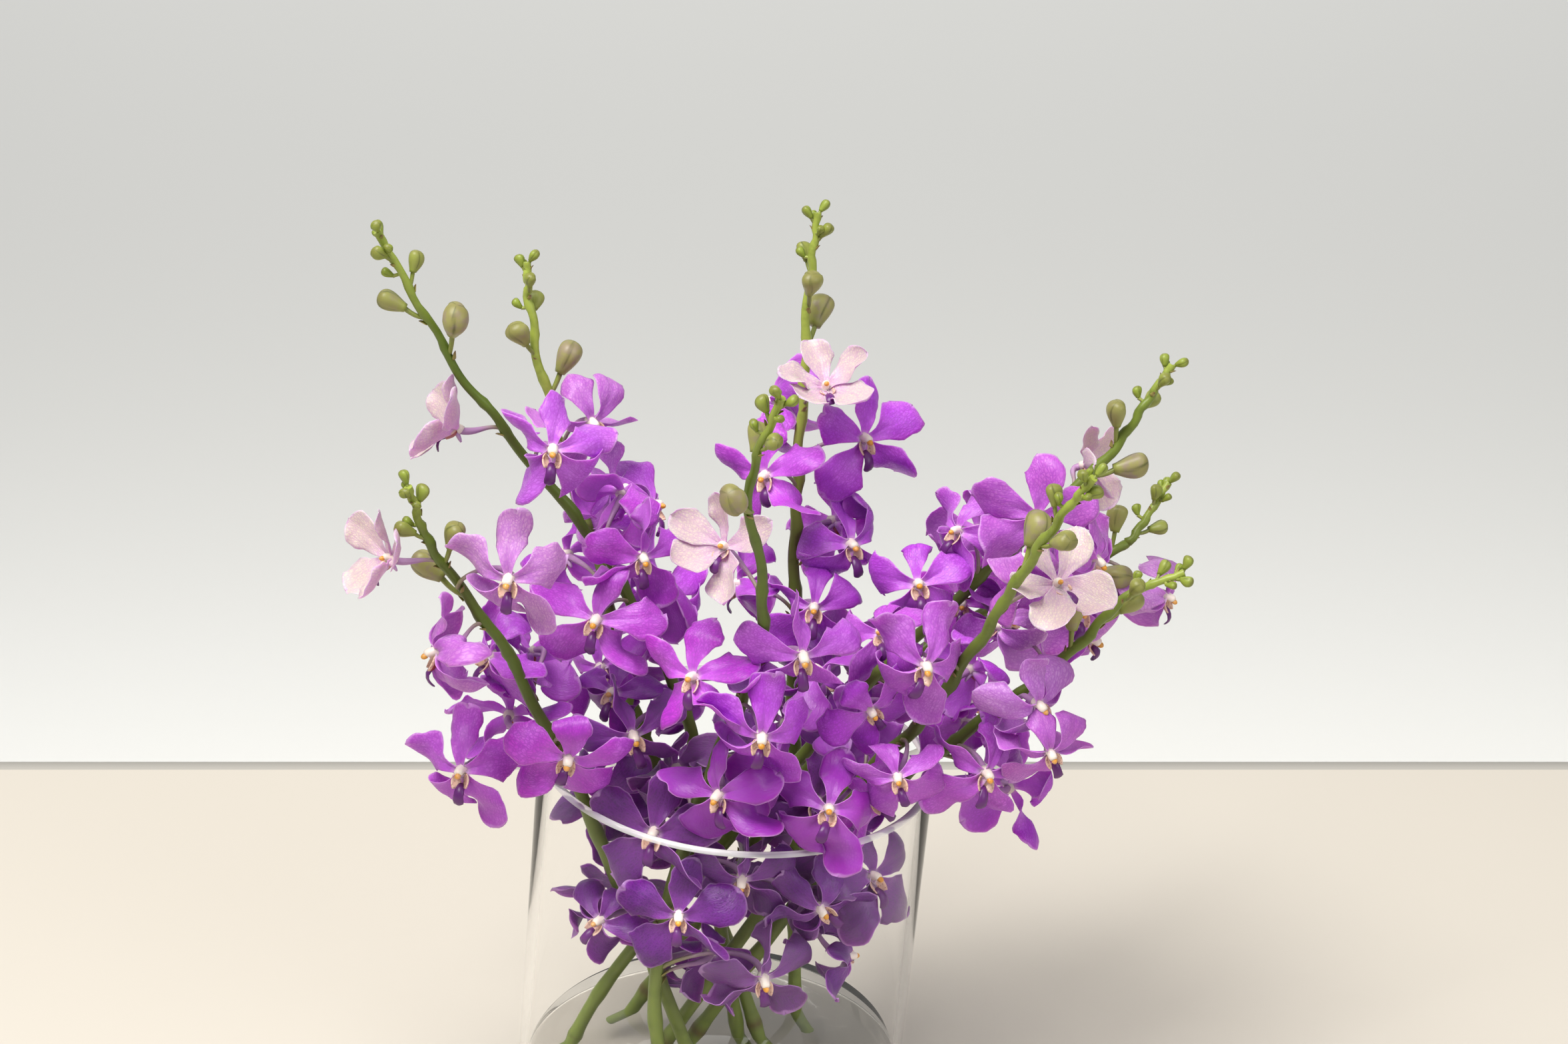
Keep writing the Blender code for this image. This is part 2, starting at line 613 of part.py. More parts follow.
def make_water(stems, collection, cutters):
    """The shallow water in the vase, level on top, with a plain hole for each stem."""
    inside = vase_profile()[1]
    section = [(max(r - WATER_GAP, 0), z + WATER_GAP) for r, z in inside if z < VASE_HEIGHT / 2]
    section += [(section[-1][0], WATER_LEVEL + 30), (0, WATER_LEVEL + 30)]
    water, shape = turned_object("water", section, "water", collection)
    cut_level(shape, WATER_LEVEL, keep_above=False)
    shape.to_mesh(water.data)
    shape.free()
    for name, stem in stems.items():
        foot, bend = stem.line[:2]
        ahead = (bend - foot).normalized()
        path = [foot - ahead * 30, bend + ahead * 30]
        radii = [stem.radius(0) + HOLE_GAP] * 2
        hole = tube_object(name + "_hole", path, radii, STEM_SIDES, "water", cutters)
        cut = water.modifiers.new("hole for " + name, "BOOLEAN")
        cut.operation = "DIFFERENCE"
        cut.object = hole
        cut.solver = "EXACT"
        hole.hide_render = True
        hole.display_type = "WIRE"
    return water


def keep_biggest(mesh):
    """Keeps the biggest connected skin of a mesh, so that a loose scrap or a sealed hollow goes."""
    shape = bmesh.new()
    shape.from_mesh(mesh)
    left = set(shape.verts)
    skins = []
    while left:
        found = {left.pop()}
        edge = list(found)
        while edge:
            near = {link.other_vert(corner) for corner in edge for link in corner.link_edges} & left
            left -= near
            found |= near
            edge = list(near)
        skins.append(found)
    skins.sort(key=len)
    for skin in skins[:-1]:
        print("dropped a scrap or hollow of", len(skin), "corners from", mesh.name)
        bmesh.ops.delete(shape, geom=list(skin), context="VERTS")
    shape.to_mesh(mesh)
    shape.free()


def make_spray(name, stem, buds, flowers, collection):
    """One spray: its stem, with every bud, flower and stalk joined to it in a single union."""
    path, radii = stem.path()
    spray = tube_object(name, path, radii, STEM_SIDES, "stem", collection)
    repeats = bpy.data.collections.new(name + "_repeats")
    bpy.context.scene.collection.children.link(repeats)
    for k, (matrix, length, root) in enumerate(buds):
        shape_object(f"{name}_bud_{k}", bud_shape(length, root), matrix, "bud", repeats)
    for k, (matrix, stalk, form) in enumerate(flowers):
        shape_object(f"{name}_flower_{k}", flower_shape(form), matrix, "petal", repeats)
        path = stalk_path(stalk, PEDICEL_STEPS)
        tube_object(f"{name}_stalk_{k}", path, [PEDICEL_RADIUS] * len(path), 4, "petal", repeats)
    union = spray.modifiers.new("grown together", "BOOLEAN")
    union.operation = "UNION"
    union.operand_type = "COLLECTION"
    union.collection = repeats
    union.solver = "MANIFOLD"
    bpy.context.view_layer.update()
    grown = bpy.data.meshes.new_from_object(spray.evaluated_get(bpy.context.evaluated_depsgraph_get()))
    spray.modifiers.clear()
    keep_biggest(grown)
    spray.data = grown
    for repeat in list(repeats.objects):
        bpy.data.objects.remove(repeat)
    bpy.data.collections.remove(repeats)
    return spray


def main():
    for old in list(bpy.data.objects):
        bpy.data.objects.remove(old)
    collection = bpy.data.collections.new("mokara_orchid")
    bpy.context.scene.collection.children.link(collection)
    cutters = bpy.data.collections.new("cutters")
    bpy.context.scene.collection.children.link(cutters)
    stems, buds, flowers = plan()
    make_vase(collection)
    make_water(stems, collection, cutters)
    for name in SPRAYS:
        make_spray(name, stems[name], buds[name], flowers[name], collection)


main()
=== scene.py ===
# Nine cut sprays of mokara orchid standing in a leaning cylinder vase of clear glass.
# Sizes are in millimetres and angles in degrees where no line says otherwise. Meshes are made in metres.
# The places of the stems, buds and flowers come from the same rules and numbers as the solids of the part.

import json
from math import asin, atan2, cos, degrees, pi, radians, sin, sqrt, tau
from random import Random

import bmesh
import bpy
import numpy as np
from mathutils import Euler, Matrix, Vector
from mathutils.bvhtree import BVHTree

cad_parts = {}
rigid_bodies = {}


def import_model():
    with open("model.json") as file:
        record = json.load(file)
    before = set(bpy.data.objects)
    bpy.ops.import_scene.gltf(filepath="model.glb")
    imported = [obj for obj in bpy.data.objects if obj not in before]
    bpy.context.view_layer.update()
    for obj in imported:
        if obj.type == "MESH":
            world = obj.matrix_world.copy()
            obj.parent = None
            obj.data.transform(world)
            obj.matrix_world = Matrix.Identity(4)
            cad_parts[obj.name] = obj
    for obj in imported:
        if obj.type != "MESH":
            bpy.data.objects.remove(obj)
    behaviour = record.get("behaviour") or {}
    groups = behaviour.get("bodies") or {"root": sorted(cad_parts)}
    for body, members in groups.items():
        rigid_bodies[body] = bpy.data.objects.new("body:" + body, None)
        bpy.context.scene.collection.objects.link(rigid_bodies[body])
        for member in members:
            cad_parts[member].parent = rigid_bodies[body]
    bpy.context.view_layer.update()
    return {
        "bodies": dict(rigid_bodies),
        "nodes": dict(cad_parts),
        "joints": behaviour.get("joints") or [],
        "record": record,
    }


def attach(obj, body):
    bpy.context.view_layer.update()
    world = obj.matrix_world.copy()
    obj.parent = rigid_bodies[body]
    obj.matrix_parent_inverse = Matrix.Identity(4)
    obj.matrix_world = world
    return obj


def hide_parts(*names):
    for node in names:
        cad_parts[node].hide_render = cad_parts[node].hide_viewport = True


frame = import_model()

up = Vector((0, 0, 1))
mm = 0.001

print("stage: sizes and places")

vaseSizes = {
    "radius": 95.0,
    "height": 200.0,
    "lean": radians(5.0),
    "wall": 4.0,
    "floor": 16.0,          # thickness of the glass base
    "innerCorner": 11.0,    # bend between the base and the wall, inside
    "footBevel": 1.5,
    "rimDepth": 2.2,        # how much of the wall's top has the rim's finish, partly white for painted light
    "sides": 144,
}
stemSizes = {
    "radiusFoot": 2.8,
    "radiusTip": 1.3,
    "sides": 10,
    "pointGap": 5.0,        # between the points that a stem is swept through
    "jointGap": 31.0,       # between the leaf scars on the bare part of a stem
    "fuller": 1.2,          # a real stem beside the plain tube of the solid
    "jointSwell": 0.26,     # how much thicker a stem is at a leaf or a flower, and how far that reaches
    "jointReach": 3.0,
    "scarReach": 1.8,
    "zigzag": 0.045,        # sideways step of a flowering stem, as a share of the way to the next flower
    "longestStep": 32,
}
bloomSizes = {
    # angle of the heart's side, angle that the petal or sepal turns to, length, half width
    "blades": [(90, 90, 27, 8.0), (150, 160, 29, 9.5), (210, 230, 29, 11.5), (330, 310, 29, 11.5),
               (30, 20, 29, 9.5)],
    # rise towards the front, arch to the back, twist in degrees
    "forms": {"flat": (0.16, -0.30, 10), "arched": (0.12, -0.52, -14), "pale": (0.55, -0.10, 8)},
    "rows": 20,             # faces along a petal
    "columns": 12,          # faces across a petal
    "variants": 9,          # shapes modelled for each form
    "longer": 1.17,         # a grown petal beside the plain blade of the solid, along and across
    "wider": 1.19,
    "thick": 0.34,          # half thickness in the middle of a petal
    "ruffle": 1.5,          # how far the last unevenness moves a petal's edge
}
budSizes = {
    # distance from the tip, length, length of stalk
    "buds": [(1, 6.5, 1), (6, 6.5, 3), (15, 8, 4), (30, 10, 6), (46, 13.5, 9), (66, 17, 11)],
    # knobs too small for the solids: distance from the tip, length, how far out, turn round the stem
    "knobs": [(3.5, 4.6, 2.6, 200), (9.5, 5.2, 3.4, 20), (22, 5.8, 4.2, 250)],
}
waterSizes = {
    "level": 34.0,
    "intoGlass": 0.08,      # how far it reaches into the glass
    "spare": 30,            # height above the level that is cut off
}
layout = {                  # the solids' own steps and margins, which settle what finds room
    "vaseSides": 32,
    "cornerSteps": 2,
    "footGap": 0.3,
    "stemStep": 34.0,
    "stemSides": 6,
    "clearance": 0.3,
    "heartRadius": 3.0,
    "heartDepth": 2.6,
    "bladeSteps": [(0.66, 1.0, 0.5), (1.0, 0.46, 0.0)],
    "lipSteps": [(13.5, 5.5, 2.2, 0.0)],
    "columnHeight": 6.0,
    "pedicelRadius": 1.15,
    "pedicelOut": 27.0,
    "pedicelUp": 13.0,
    "pedicelSteps": 2,
    "pedicelBend": 0.4,     # reach of the stalk's curve, and how much the stem's direction leads it
    "pedicelLead": 0.8,
    "pedicelIn": 0.4,       # how deep the stalk ends in the flower's heart
    "flowerTurn": 137.5,
    "seed": 11,
    "tries": 60,
    "loose": {"turn": 70, "rise": 35, "roll": 60, "shift": 18, "shrink": 0.16},    # the most that a try changes
    "paleSize": 0.85,
    "nudges": (0, 13, -13, 26, -26),
    "budTurn": 150,
    "budNudge": 24,         # turn between one try and the next
    "budLean": (0.75, 0.75, 0.2),    # shares of the stem's direction, of outwards and of up in a bud's own
    "budGap": 1.5,          # a bud is tested from this far above its foot
    "budRings": [(0.0, 0.10), (0.42, 0.36), (0.86, 0.30)],
    "budSides": 5,
}

# Each spray: "fresh" is how light its green is, "stem" holds the points that its stem passes through, "seen"
# the flowers that stand out from the front (heart, turn to the right, rise, roll, form), and "rest" the lengths
# along the stem of the lowest and highest of the others, how many there are, and the first one's turn round it.
sprays = {
    "spray_left_tall": {
        "fresh": 0.15,
        "stem": [(19, 14, 0), (8, -2, 110), (-3, -8, 200), (-13, -15, 250), (-47, -19, 320),
                 (-83, -23, 373), (-109, -26, 414), (-138, -30, 474)],
        "seen": [((-106, -30, 380), -75, 20, 20, "pale"), ((-63, -48, 378), 15, -5, -10, "flat"),
                 ((-36, 6, 333), 170, 8, 0, "arched"), ((-45, -47, 294), -10, -4, 0, "flat"),
                 ((-30, -46, 234), 8, 5, 10, "arched"), ((-36, -26, 146), -25, -10, 40, "arched")],
        "rest": (100, 300, 6, 30),
    },
    "spray_left_back": {
        "fresh": 0.9,
        "stem": [(34, 4, 0), (2, 24, 110), (-30, 32, 195), (-51, 44, 284), (-70, 58, 350), (-80, 67, 400),
                 (-81, 70, 424)],
        "seen": [((-52, 40, 356), 25, 10, 0, "flat"), ((-24, 48, 308), 60, 5, 0, "arched"),
                 ((-21, 28, 267), 20, 5, 0, "flat")],
        "rest": (112, 310, 6, 80),
    },
    "spray_left_low": {
        "fresh": 0.2,
        "stem": [(4, -30, 0), (-24, -33, 105), (-56, -38, 198), (-70, -45, 239), (-84, -55, 278),
                 (-105, -65, 317), (-118, -73, 348), (-124, -80, 374)],
        "seen": [((-133, -76, 338), -60, 25, 20, "pale"), ((-80, -95, 337), 2, -4, 0, "flat"),
                 ((-113, -87, 297), -70, 0, 0, "flat"), ((-95, -32, 268), -60, 15, 0, "arched"),
                 ((-90, -24, 232), 165, 10, 0, "flat"), ((-108, -62, 224), -15, 8, 24, "flat"),
                 ((-58, -74, 238), 0, -4, 0, "flat"), ((-46, -10, 181), 0, 0, 36, "flat")],
        "rest": (110, 250, 3, 200),
    },
    "spray_centre_back": {
        "fresh": 1.0,
        "stem": [(46, 30, 0), (45, 46, 110), (45, 56, 200), (46, 64, 274), (48, 75, 332), (52, 88, 400),
                 (56, 95, 440)],
        "seen": [((60, 58, 364), 5, 55, 0, "pale"), ((36, 100, 340), -120, 10, 0, "flat"),
                 ((78, 70, 334), 45, 20, 0, "flat"), ((32, 50, 325), -20, 2, 0, "flat"),
                 ((72, 50, 287), 25, 0, 20, "arched"), ((56, 36, 262), 0, 4, 0, "flat")],
        "rest": (90, 270, 6, 120),
    },
    "spray_centre_front": {
        "fresh": 0.2,
        "stem": [(-14, -46, 0), (-22, -48, 95), (-6, -46, 178), (10, -58, 229), (30, -78, 300),
                 (28, -94, 350), (26, -106, 390), (39, -120, 432)],
        "seen": [((14, -70, 340), -35, 40, 0, "pale"), ((48, -84, 294), 12, -10, 0, "arched"),
                 ((30, -100, 262), 5, -5, 0, "flat"), ((12, -86, 226), -5, 2, 0, "flat"),
                 ((20, -66, 171), 10, -8, 0, "arched"), ((-10, -72, 156), -12, -4, 0, "flat"),
                 ((53, -64, 150), 30, -2, 30, "flat"), ((30, -62, 113), 5, -20, 0, "arched"),
                 ((-20, -66, 194), -12, -8, 0, "flat")],
        "rest": (85, 260, 5, 300),
    },
    "spray_right_top": {
        "fresh": 0.35,
        "stem": [(-72, 4, 0), (-40, 6, 80), (60, 20, 203), (108, 26, 255), (155, 33, 299), (191, 41, 335),
                 (210, 46, 361), (223, 50, 380)],
        "seen": [((119, 18, 313), -50, 0, 0, "flat"), ((158, 10, 320), 10, 10, 0, "flat"),
                 ((103, 2, 288), -10, 15, 0, "arched"), ((186, 62, 322), 60, 20, 0, "pale"),
                 ((-46, -4, 118), 175, 5, 0, "flat")],
        "rest": (150, 365, 7, 60),
    },
    "spray_right_back": {
        "fresh": 0.4,
        "stem": [(-46, 32, 0), (10, 38, 105), (72, 44, 196), (120, 52, 238), (193, 70, 269), (212, 77, 280),
                 (229, 90, 302)],
        "seen": [((184, 42, 258), 30, 0, 0, "flat"), ((190, 60, 232), 60, -10, 0, "arched")],
        "rest": (120, 345, 8, 10),
    },
    "spray_right_front": {
        "fresh": 0.55,
        "stem": [(-36, -16, 0), (20, -20, 110), (78, -34, 206), (105, -45, 242), (128, -63, 290),
                 (146, -80, 335), (160, -92, 365), (173, -100, 387)],
        "seen": [((162, -62, 318), 40, 25, 0, "pale"), ((103, -78, 286), 8, 4, 0, "flat"),
                 ((78, -70, 262), 0, 2, 0, "flat"), ((86, -84, 234), 14, 10, 15, "arched"),
                 ((60, -92, 220), 5, 38, -20, "flat")],
        "rest": (100, 330, 7, 150),
    },
    "spray_right_low": {
        "fresh": 0.35,
        "stem": [(-20, -2, 0), (30, -12, 100), (86, -36, 196), (124, -42, 232), (150, -41, 254),
                 (178, -40, 280), (196, -40, 302), (222, -40, 314)],
        "seen": [((152, -68, 260), 25, 0, 0, "flat"), ((146, -30, 198), 160, 5, 180, "arched"),
                 ((132, -68, 226), 5, -5, 0, "flat"), ((82, -40, 155), 50, -5, 0, "flat")],
        "rest": (110, 310, 7, 250),
    },
}


def curvePoint(points, share):
    # A point on the smooth curve through points, a Catmull-Rom spline, at a share of its spans.
    spans = len(points) - 1
    i = min(int(share * spans), spans - 1)
    t = share * spans - i
    p0 = points[i - 1] if i else 2 * points[0] - points[1]
    p3 = points[i + 2] if i + 2 <= spans else 2 * points[-1] - points[-2]
    p1, p2 = points[i], points[i + 1]
    return 0.5 * (2 * p1 + (p2 - p0) * t + (2 * p0 - 5 * p1 + 4 * p2 - p3) * t**2
                  + (3 * p1 - p0 - 3 * p2 + p3) * t**3)


class Stem:
    # One stem: straight stretches along the smooth curve through its points, read by length.

    def __init__(self, points):
        places = [Vector(p) for p in points]
        foot = places[0]
        tilt = (places[1] - foot).normalized()
        edge = stemSizes["radiusFoot"] * (sqrt(1 - tilt.z**2) + abs(sin(vaseSizes["lean"])))
        lean = vaseSizes["lean"]
        foot.z = vaseSizes["floor"] / cos(lean) - foot.x * sin(lean) / cos(lean) + layout["footGap"] + edge
        steps = round(sum((b - a).length for a, b in zip(places, places[1:])) / layout["stemStep"])
        self.line = [curvePoint(places, k / steps) for k in range(steps + 1)]
        self.along = [0.0]
        for a, b in zip(self.line, self.line[1:]):
            self.along.append(self.along[-1] + (b - a).length)
        self.length = self.along[-1]

    def at(self, length):
        length = min(max(length, 0.0), self.length)
        last = len(self.along) - 1
        k = next(i for i in range(1, last + 1) if self.along[i] >= length or i == last)
        t = (length - self.along[k - 1]) / (self.along[k] - self.along[k - 1])
        return self.line[k - 1].lerp(self.line[k], t)

    def nearest(self, place):
        return min(range(int(self.length)), key=lambda x: (self.at(x) - place).length)

    def direction(self, length):
        return (self.at(length + 12) - self.at(length - 12)).normalized()

    def radius(self, length):
        thick, thin = stemSizes["radiusFoot"], stemSizes["radiusTip"]
        return thick + (thin - thick) * (length / self.length) ** 1.5

    def outward(self, length, turn):
        # A direction square to the stem. A turn of 0 degrees points to the front.
        ahead = self.direction(length)
        side = ahead.cross(Vector((0, -1, 0))).normalized()
        front = side.cross(ahead).normalized()
        return front * cos(radians(turn)) + side * sin(radians(turn))

    def path(self):
        return self.line, [self.radius(x) for x in self.along]


def ringFaces(rounds, sides):
    # the faces between rings of corners that follow one another
    faces = []
    for k in range(rounds):
        for j in range(sides):
            a, b = k * sides + j, k * sides + (j + 1) % sides
            faces.append((a, b, b + sides, a + sides))
    return faces


def tubeMesh(path, radii, sides):
    # Corners and faces of a tube along path, used to test what it would touch.
    corners = []
    for k, centre in enumerate(path):
        ahead = (path[min(k + 1, len(path) - 1)] - path[max(k - 1, 0)]).normalized()
        across = ahead.orthogonal() if k == 0 else across - ahead * across.dot(ahead)
        across.normalize()
        other = ahead.cross(across)
        for j in range(sides):
            turn = tau * j / sides
            corners.append(centre + (across * cos(turn) + other * sin(turn)) * radii[k])
    faces = ringFaces(len(path) - 1, sides)
    faces.append(tuple(range(sides))[::-1])
    faces.append(tuple(range(len(corners) - sides, len(corners))))
    return corners, faces


def bladePoint(blade, form, share, across, lift=0.0):
    # A point on a petal or sepal: share runs from the flower's heart to the tip, across from -1 to 1.
    angle, length, halfWidth = blade
    rise, arch, twist = bloomSizes["forms"][form]
    out = Vector((cos(radians(angle)), sin(radians(angle)), 0))
    side = Vector((-out.y, out.x, 0))
    z = length * (rise * share + arch * share**2)
    turn = radians(twist) * share * (1 if angle > 90 else -1)
    width = halfWidth * across
    return out * length * share + side * width * cos(turn) + up * (z + width * sin(turn) + lift)


def flowerShape(form, margin=0.0):
    # One open flower facing +Z with its heart at the origin: a prism, each side drawn out into a blade.
    shape = bmesh.new()
    bmesh.ops.create_cone(shape, cap_ends=True, segments=6, radius1=layout["heartRadius"] + margin,
                          radius2=layout["heartRadius"] + margin, depth=layout["heartDepth"] + 2 * margin,
                          matrix=Matrix.Rotation(radians(30), 4, "Z"))
    shape.normal_update()
    upright = [f for f in shape.faces if abs(f.normal.z) < 0.5]
    sides = {round(degrees(atan2(f.normal.y, f.normal.x))) % 360: f for f in upright}
    for sideAngle, angle, length, halfWidth in bloomSizes["blades"]:
        blade = (angle, length + margin, halfWidth + margin)
        rings = []
        for share, across, lift in layout["bladeSteps"]:
            rings.append({(x, z): bladePoint(blade, form, share, x * across, z * (lift + margin))
                          for x in (-1, 1) for z in (-1, 1)})
        drawOut(shape, sides[sideAngle], rings)
    rings = []
    for down, front, halfWidth, lift in layout["lipSteps"]:
        wide, high = halfWidth + margin, lift + margin
        rings.append({(x, z): Vector((x * wide, -down - margin, front + z * high))
                      for x in (-1, 1) for z in (-1, 1)})
    drawOut(shape, sides[270], rings)
    top = max(shape.faces, key=lambda f: f.normal.z + f.calc_center_median().z * (abs(f.normal.z) > 0.99))
    bmesh.ops.poke(shape, faces=[top], offset=layout["columnHeight"] + margin)
    bmesh.ops.remove_doubles(shape, verts=shape.verts, dist=0.01)
    bmesh.ops.triangulate(shape, faces=shape.faces)
    return shape


def drawOut(shape, face, rings):
    # Draws a four-sided face out through rings of corners, each found by its side (x) and level (z).
    across = up.cross(face.normal)
    places = [(v.co.copy(), (1 if v.co.dot(across) > 0 else -1, 1 if v.co.z > 0 else -1))
              for v in face.verts]
    for ring in rings:
        face = bmesh.ops.extrude_discrete_faces(shape, faces=[face])["faces"][0]
        places = [(v, min(places, key=lambda p: (p[0] - v.co).length)[1]) for v in face.verts]
        for corner, key in places:
            corner.co = ring[key]
        places = [(v.co.copy(), key) for v, key in places]


def budShape(length, stalk, margin=0.0):
    # One bud along +Z with its stalk: a sphere drawn out, narrow at its stalk and blunt at its end.
    shape = bmesh.new()
    rounds = len(layout["budRings"]) + 1
    bmesh.ops.create_uvsphere(shape, u_segments=layout["budSides"], v_segments=rounds, radius=1)
    corners = sorted(shape.verts, key=lambda v: v.co.z)
    corners[0].co = Vector((0, 0, -stalk))
    corners[-1].co = Vector((0, 0, length + margin))
    for k, (share, radius) in enumerate(layout["budRings"]):
        for corner in corners[1 + k * layout["budSides"]:1 + (k + 1) * layout["budSides"]]:
            flat = corner.co.xy.normalized() * (radius * length + margin)
            corner.co = Vector((flat.x, flat.y, share * length))
    bmesh.ops.triangulate(shape, faces=shape.faces)
    return shape


def readMesh(shape):
    # The corners and faces of a bmesh, which is then freed.
    shape.verts.index_update()
    corners = [v.co.copy() for v in shape.verts]
    faces = [tuple(v.index for v in face.verts) for face in shape.faces]
    shape.free()
    return corners, faces


def joined(meshes):
    corners, faces = [], []
    for more, theirFaces in meshes:
        base = len(corners)
        corners += more
        faces += [tuple(base + i for i in face) for face in theirFaces]
    return corners, faces


def moved(mesh, matrix):
    corners, faces = mesh
    return [matrix @ p for p in corners], faces


def boxOf(corners):
    return [Vector(pick(p[i] for p in corners) for i in range(3)) for pick in (min, max)]


class Space:
    # What has been placed so far, and whether a new piece would touch it.

    def __init__(self):
        self.placed = []

    def keep(self, mesh):
        self.placed.append((*boxOf(mesh[0]), BVHTree.FromPolygons(*mesh)))

    def clear(self, mesh):
        low, high = boxOf(mesh[0])
        tree = BVHTree.FromPolygons(*mesh)
        for otherLow, otherHigh, other in self.placed:
            apart = any(low[i] > otherHigh[i] or high[i] < otherLow[i] for i in range(3))
            if not apart and tree.overlap(other):
                return False
        return True


def vaseProfile(cornerSteps, rimSteps):
    # half of the vase's upright section, as (radius, height): its outside and its inside
    radius, height, wall, floor = (vaseSizes[key] for key in ("radius", "height", "wall", "floor"))
    inner, bend = radius - wall, vaseSizes["innerCorner"]
    rim = []
    for k in range(rimSteps + 1):
        a = pi * 0.5 * (1 - k / rimSteps)
        rim.append((radius - wall / 2 + wall / 2 * cos(a), height - wall / 2 + wall / 2 * sin(a)))
    below = 2 * radius * sin(vaseSizes["lean"])
    corner = []
    for k in range(cornerSteps + 1):
        a = pi / 2 * k / cornerSteps
        corner.append((inner - bend * (1 - sin(a)), floor + bend * (1 - cos(a))))
    inside = []
    for k in range(rimSteps):
        turn = pi / 2 * k / rimSteps
        inside.append((inner + wall / 2 * (1 - cos(turn)), height - wall / 2 * (1 - sin(turn))))
    return [*rim, (radius, -below), (0, -below)], [(0, floor), *corner, *inside]


def vaseMesh(grow):
    # The vase leaning and grown a little all over, only to test what would touch it.
    outside, inside = vaseProfile(layout["cornerSteps"], 2)
    rim = Vector((vaseSizes["radius"] - vaseSizes["wall"] / 2, vaseSizes["height"] - vaseSizes["wall"] / 2))
    section = []
    for r, z in [*outside[:-1], *inside[1:]]:
        if z > rim.y - 0.01:
            away = Vector((r, z)) - rim
            section.append(rim + away * (1 + 1.15 * grow / away.length))
        elif r > vaseSizes["radius"] - 0.01:
            section.append(Vector((r + grow, z)))
        else:
            section.append(Vector((r - grow, z + grow)))
    corners, faces = [], []
    lean = Matrix.Rotation(vaseSizes["lean"], 4, "Y")
    count = len(section)
    for j in range(layout["vaseSides"]):
        a = tau * j / layout["vaseSides"]
        corners += [lean @ Vector((r * cos(a), r * sin(a), z)) for r, z in section]
        n = (j + 1) % layout["vaseSides"]
        for k in range(count):
            following = (k + 1) % count
            faces.append((j * count + k, n * count + k, n * count + following, j * count + following))
    return corners, faces


def facingWay(turn, rise):
    # The direction for a turn to the right from the front and a rise, both in degrees.
    flat = cos(radians(rise))
    return Vector((sin(radians(turn)) * flat, -cos(radians(turn)) * flat, sin(radians(rise))))


def flowerFrame(heart, turn, rise, roll, size):
    # The matrix that puts a flower's heart in its place and turns its front the way that it faces.
    facing = facingWay(turn, rise)
    side = up.cross(facing).normalized()
    matrix = Matrix((side, facing.cross(side), facing)).transposed().to_4x4()
    turned = matrix @ Matrix.Rotation(radians(roll), 4, "Z")
    return Matrix.Translation(heart) @ turned @ Matrix.Scale(size, 4)


def flowerStalk(stem, heart, length, turn, rise, size):
    # The four points of the curve of a flower's stalk, from the stem's line to inside the flower's heart.
    root, facing = stem.at(length), facingWay(turn, rise)
    away = heart - root
    bend = away.length * layout["pedicelBend"]
    end = heart - facing * layout["pedicelIn"] * size
    lift = (away.normalized() + stem.direction(length) * layout["pedicelLead"]).normalized()
    return [root, root + lift * bend, end - facing * bend, end]


def bezier(points, share):
    a, b, c, d = points
    t, r = share, 1 - share
    return a * r**3 + b * 3 * r * r * t + c * 3 * r * t * t + d * t**3


def stalkPath(stalk, steps):
    return [bezier(stalk, k / steps) for k in range(steps + 1)]


def budFrame(stem, distance, turn, stalk):
    # The matrix that puts a bud in its place, and the length of its stalk down to the stem's line.
    at = stem.length - distance
    root, ahead, away = stem.at(at), stem.direction(at), stem.outward(at, turn)
    along, outwards, upwards = layout["budLean"]
    axis = (ahead * along + away * outwards + up * upwards).normalized()
    side = axis.orthogonal().normalized()
    matrix = Matrix((side, axis.cross(side), axis)).transposed().to_4x4()
    return Matrix.Translation(root + axis * (stalk + stem.radius(at))) @ matrix, stalk + stem.radius(at)


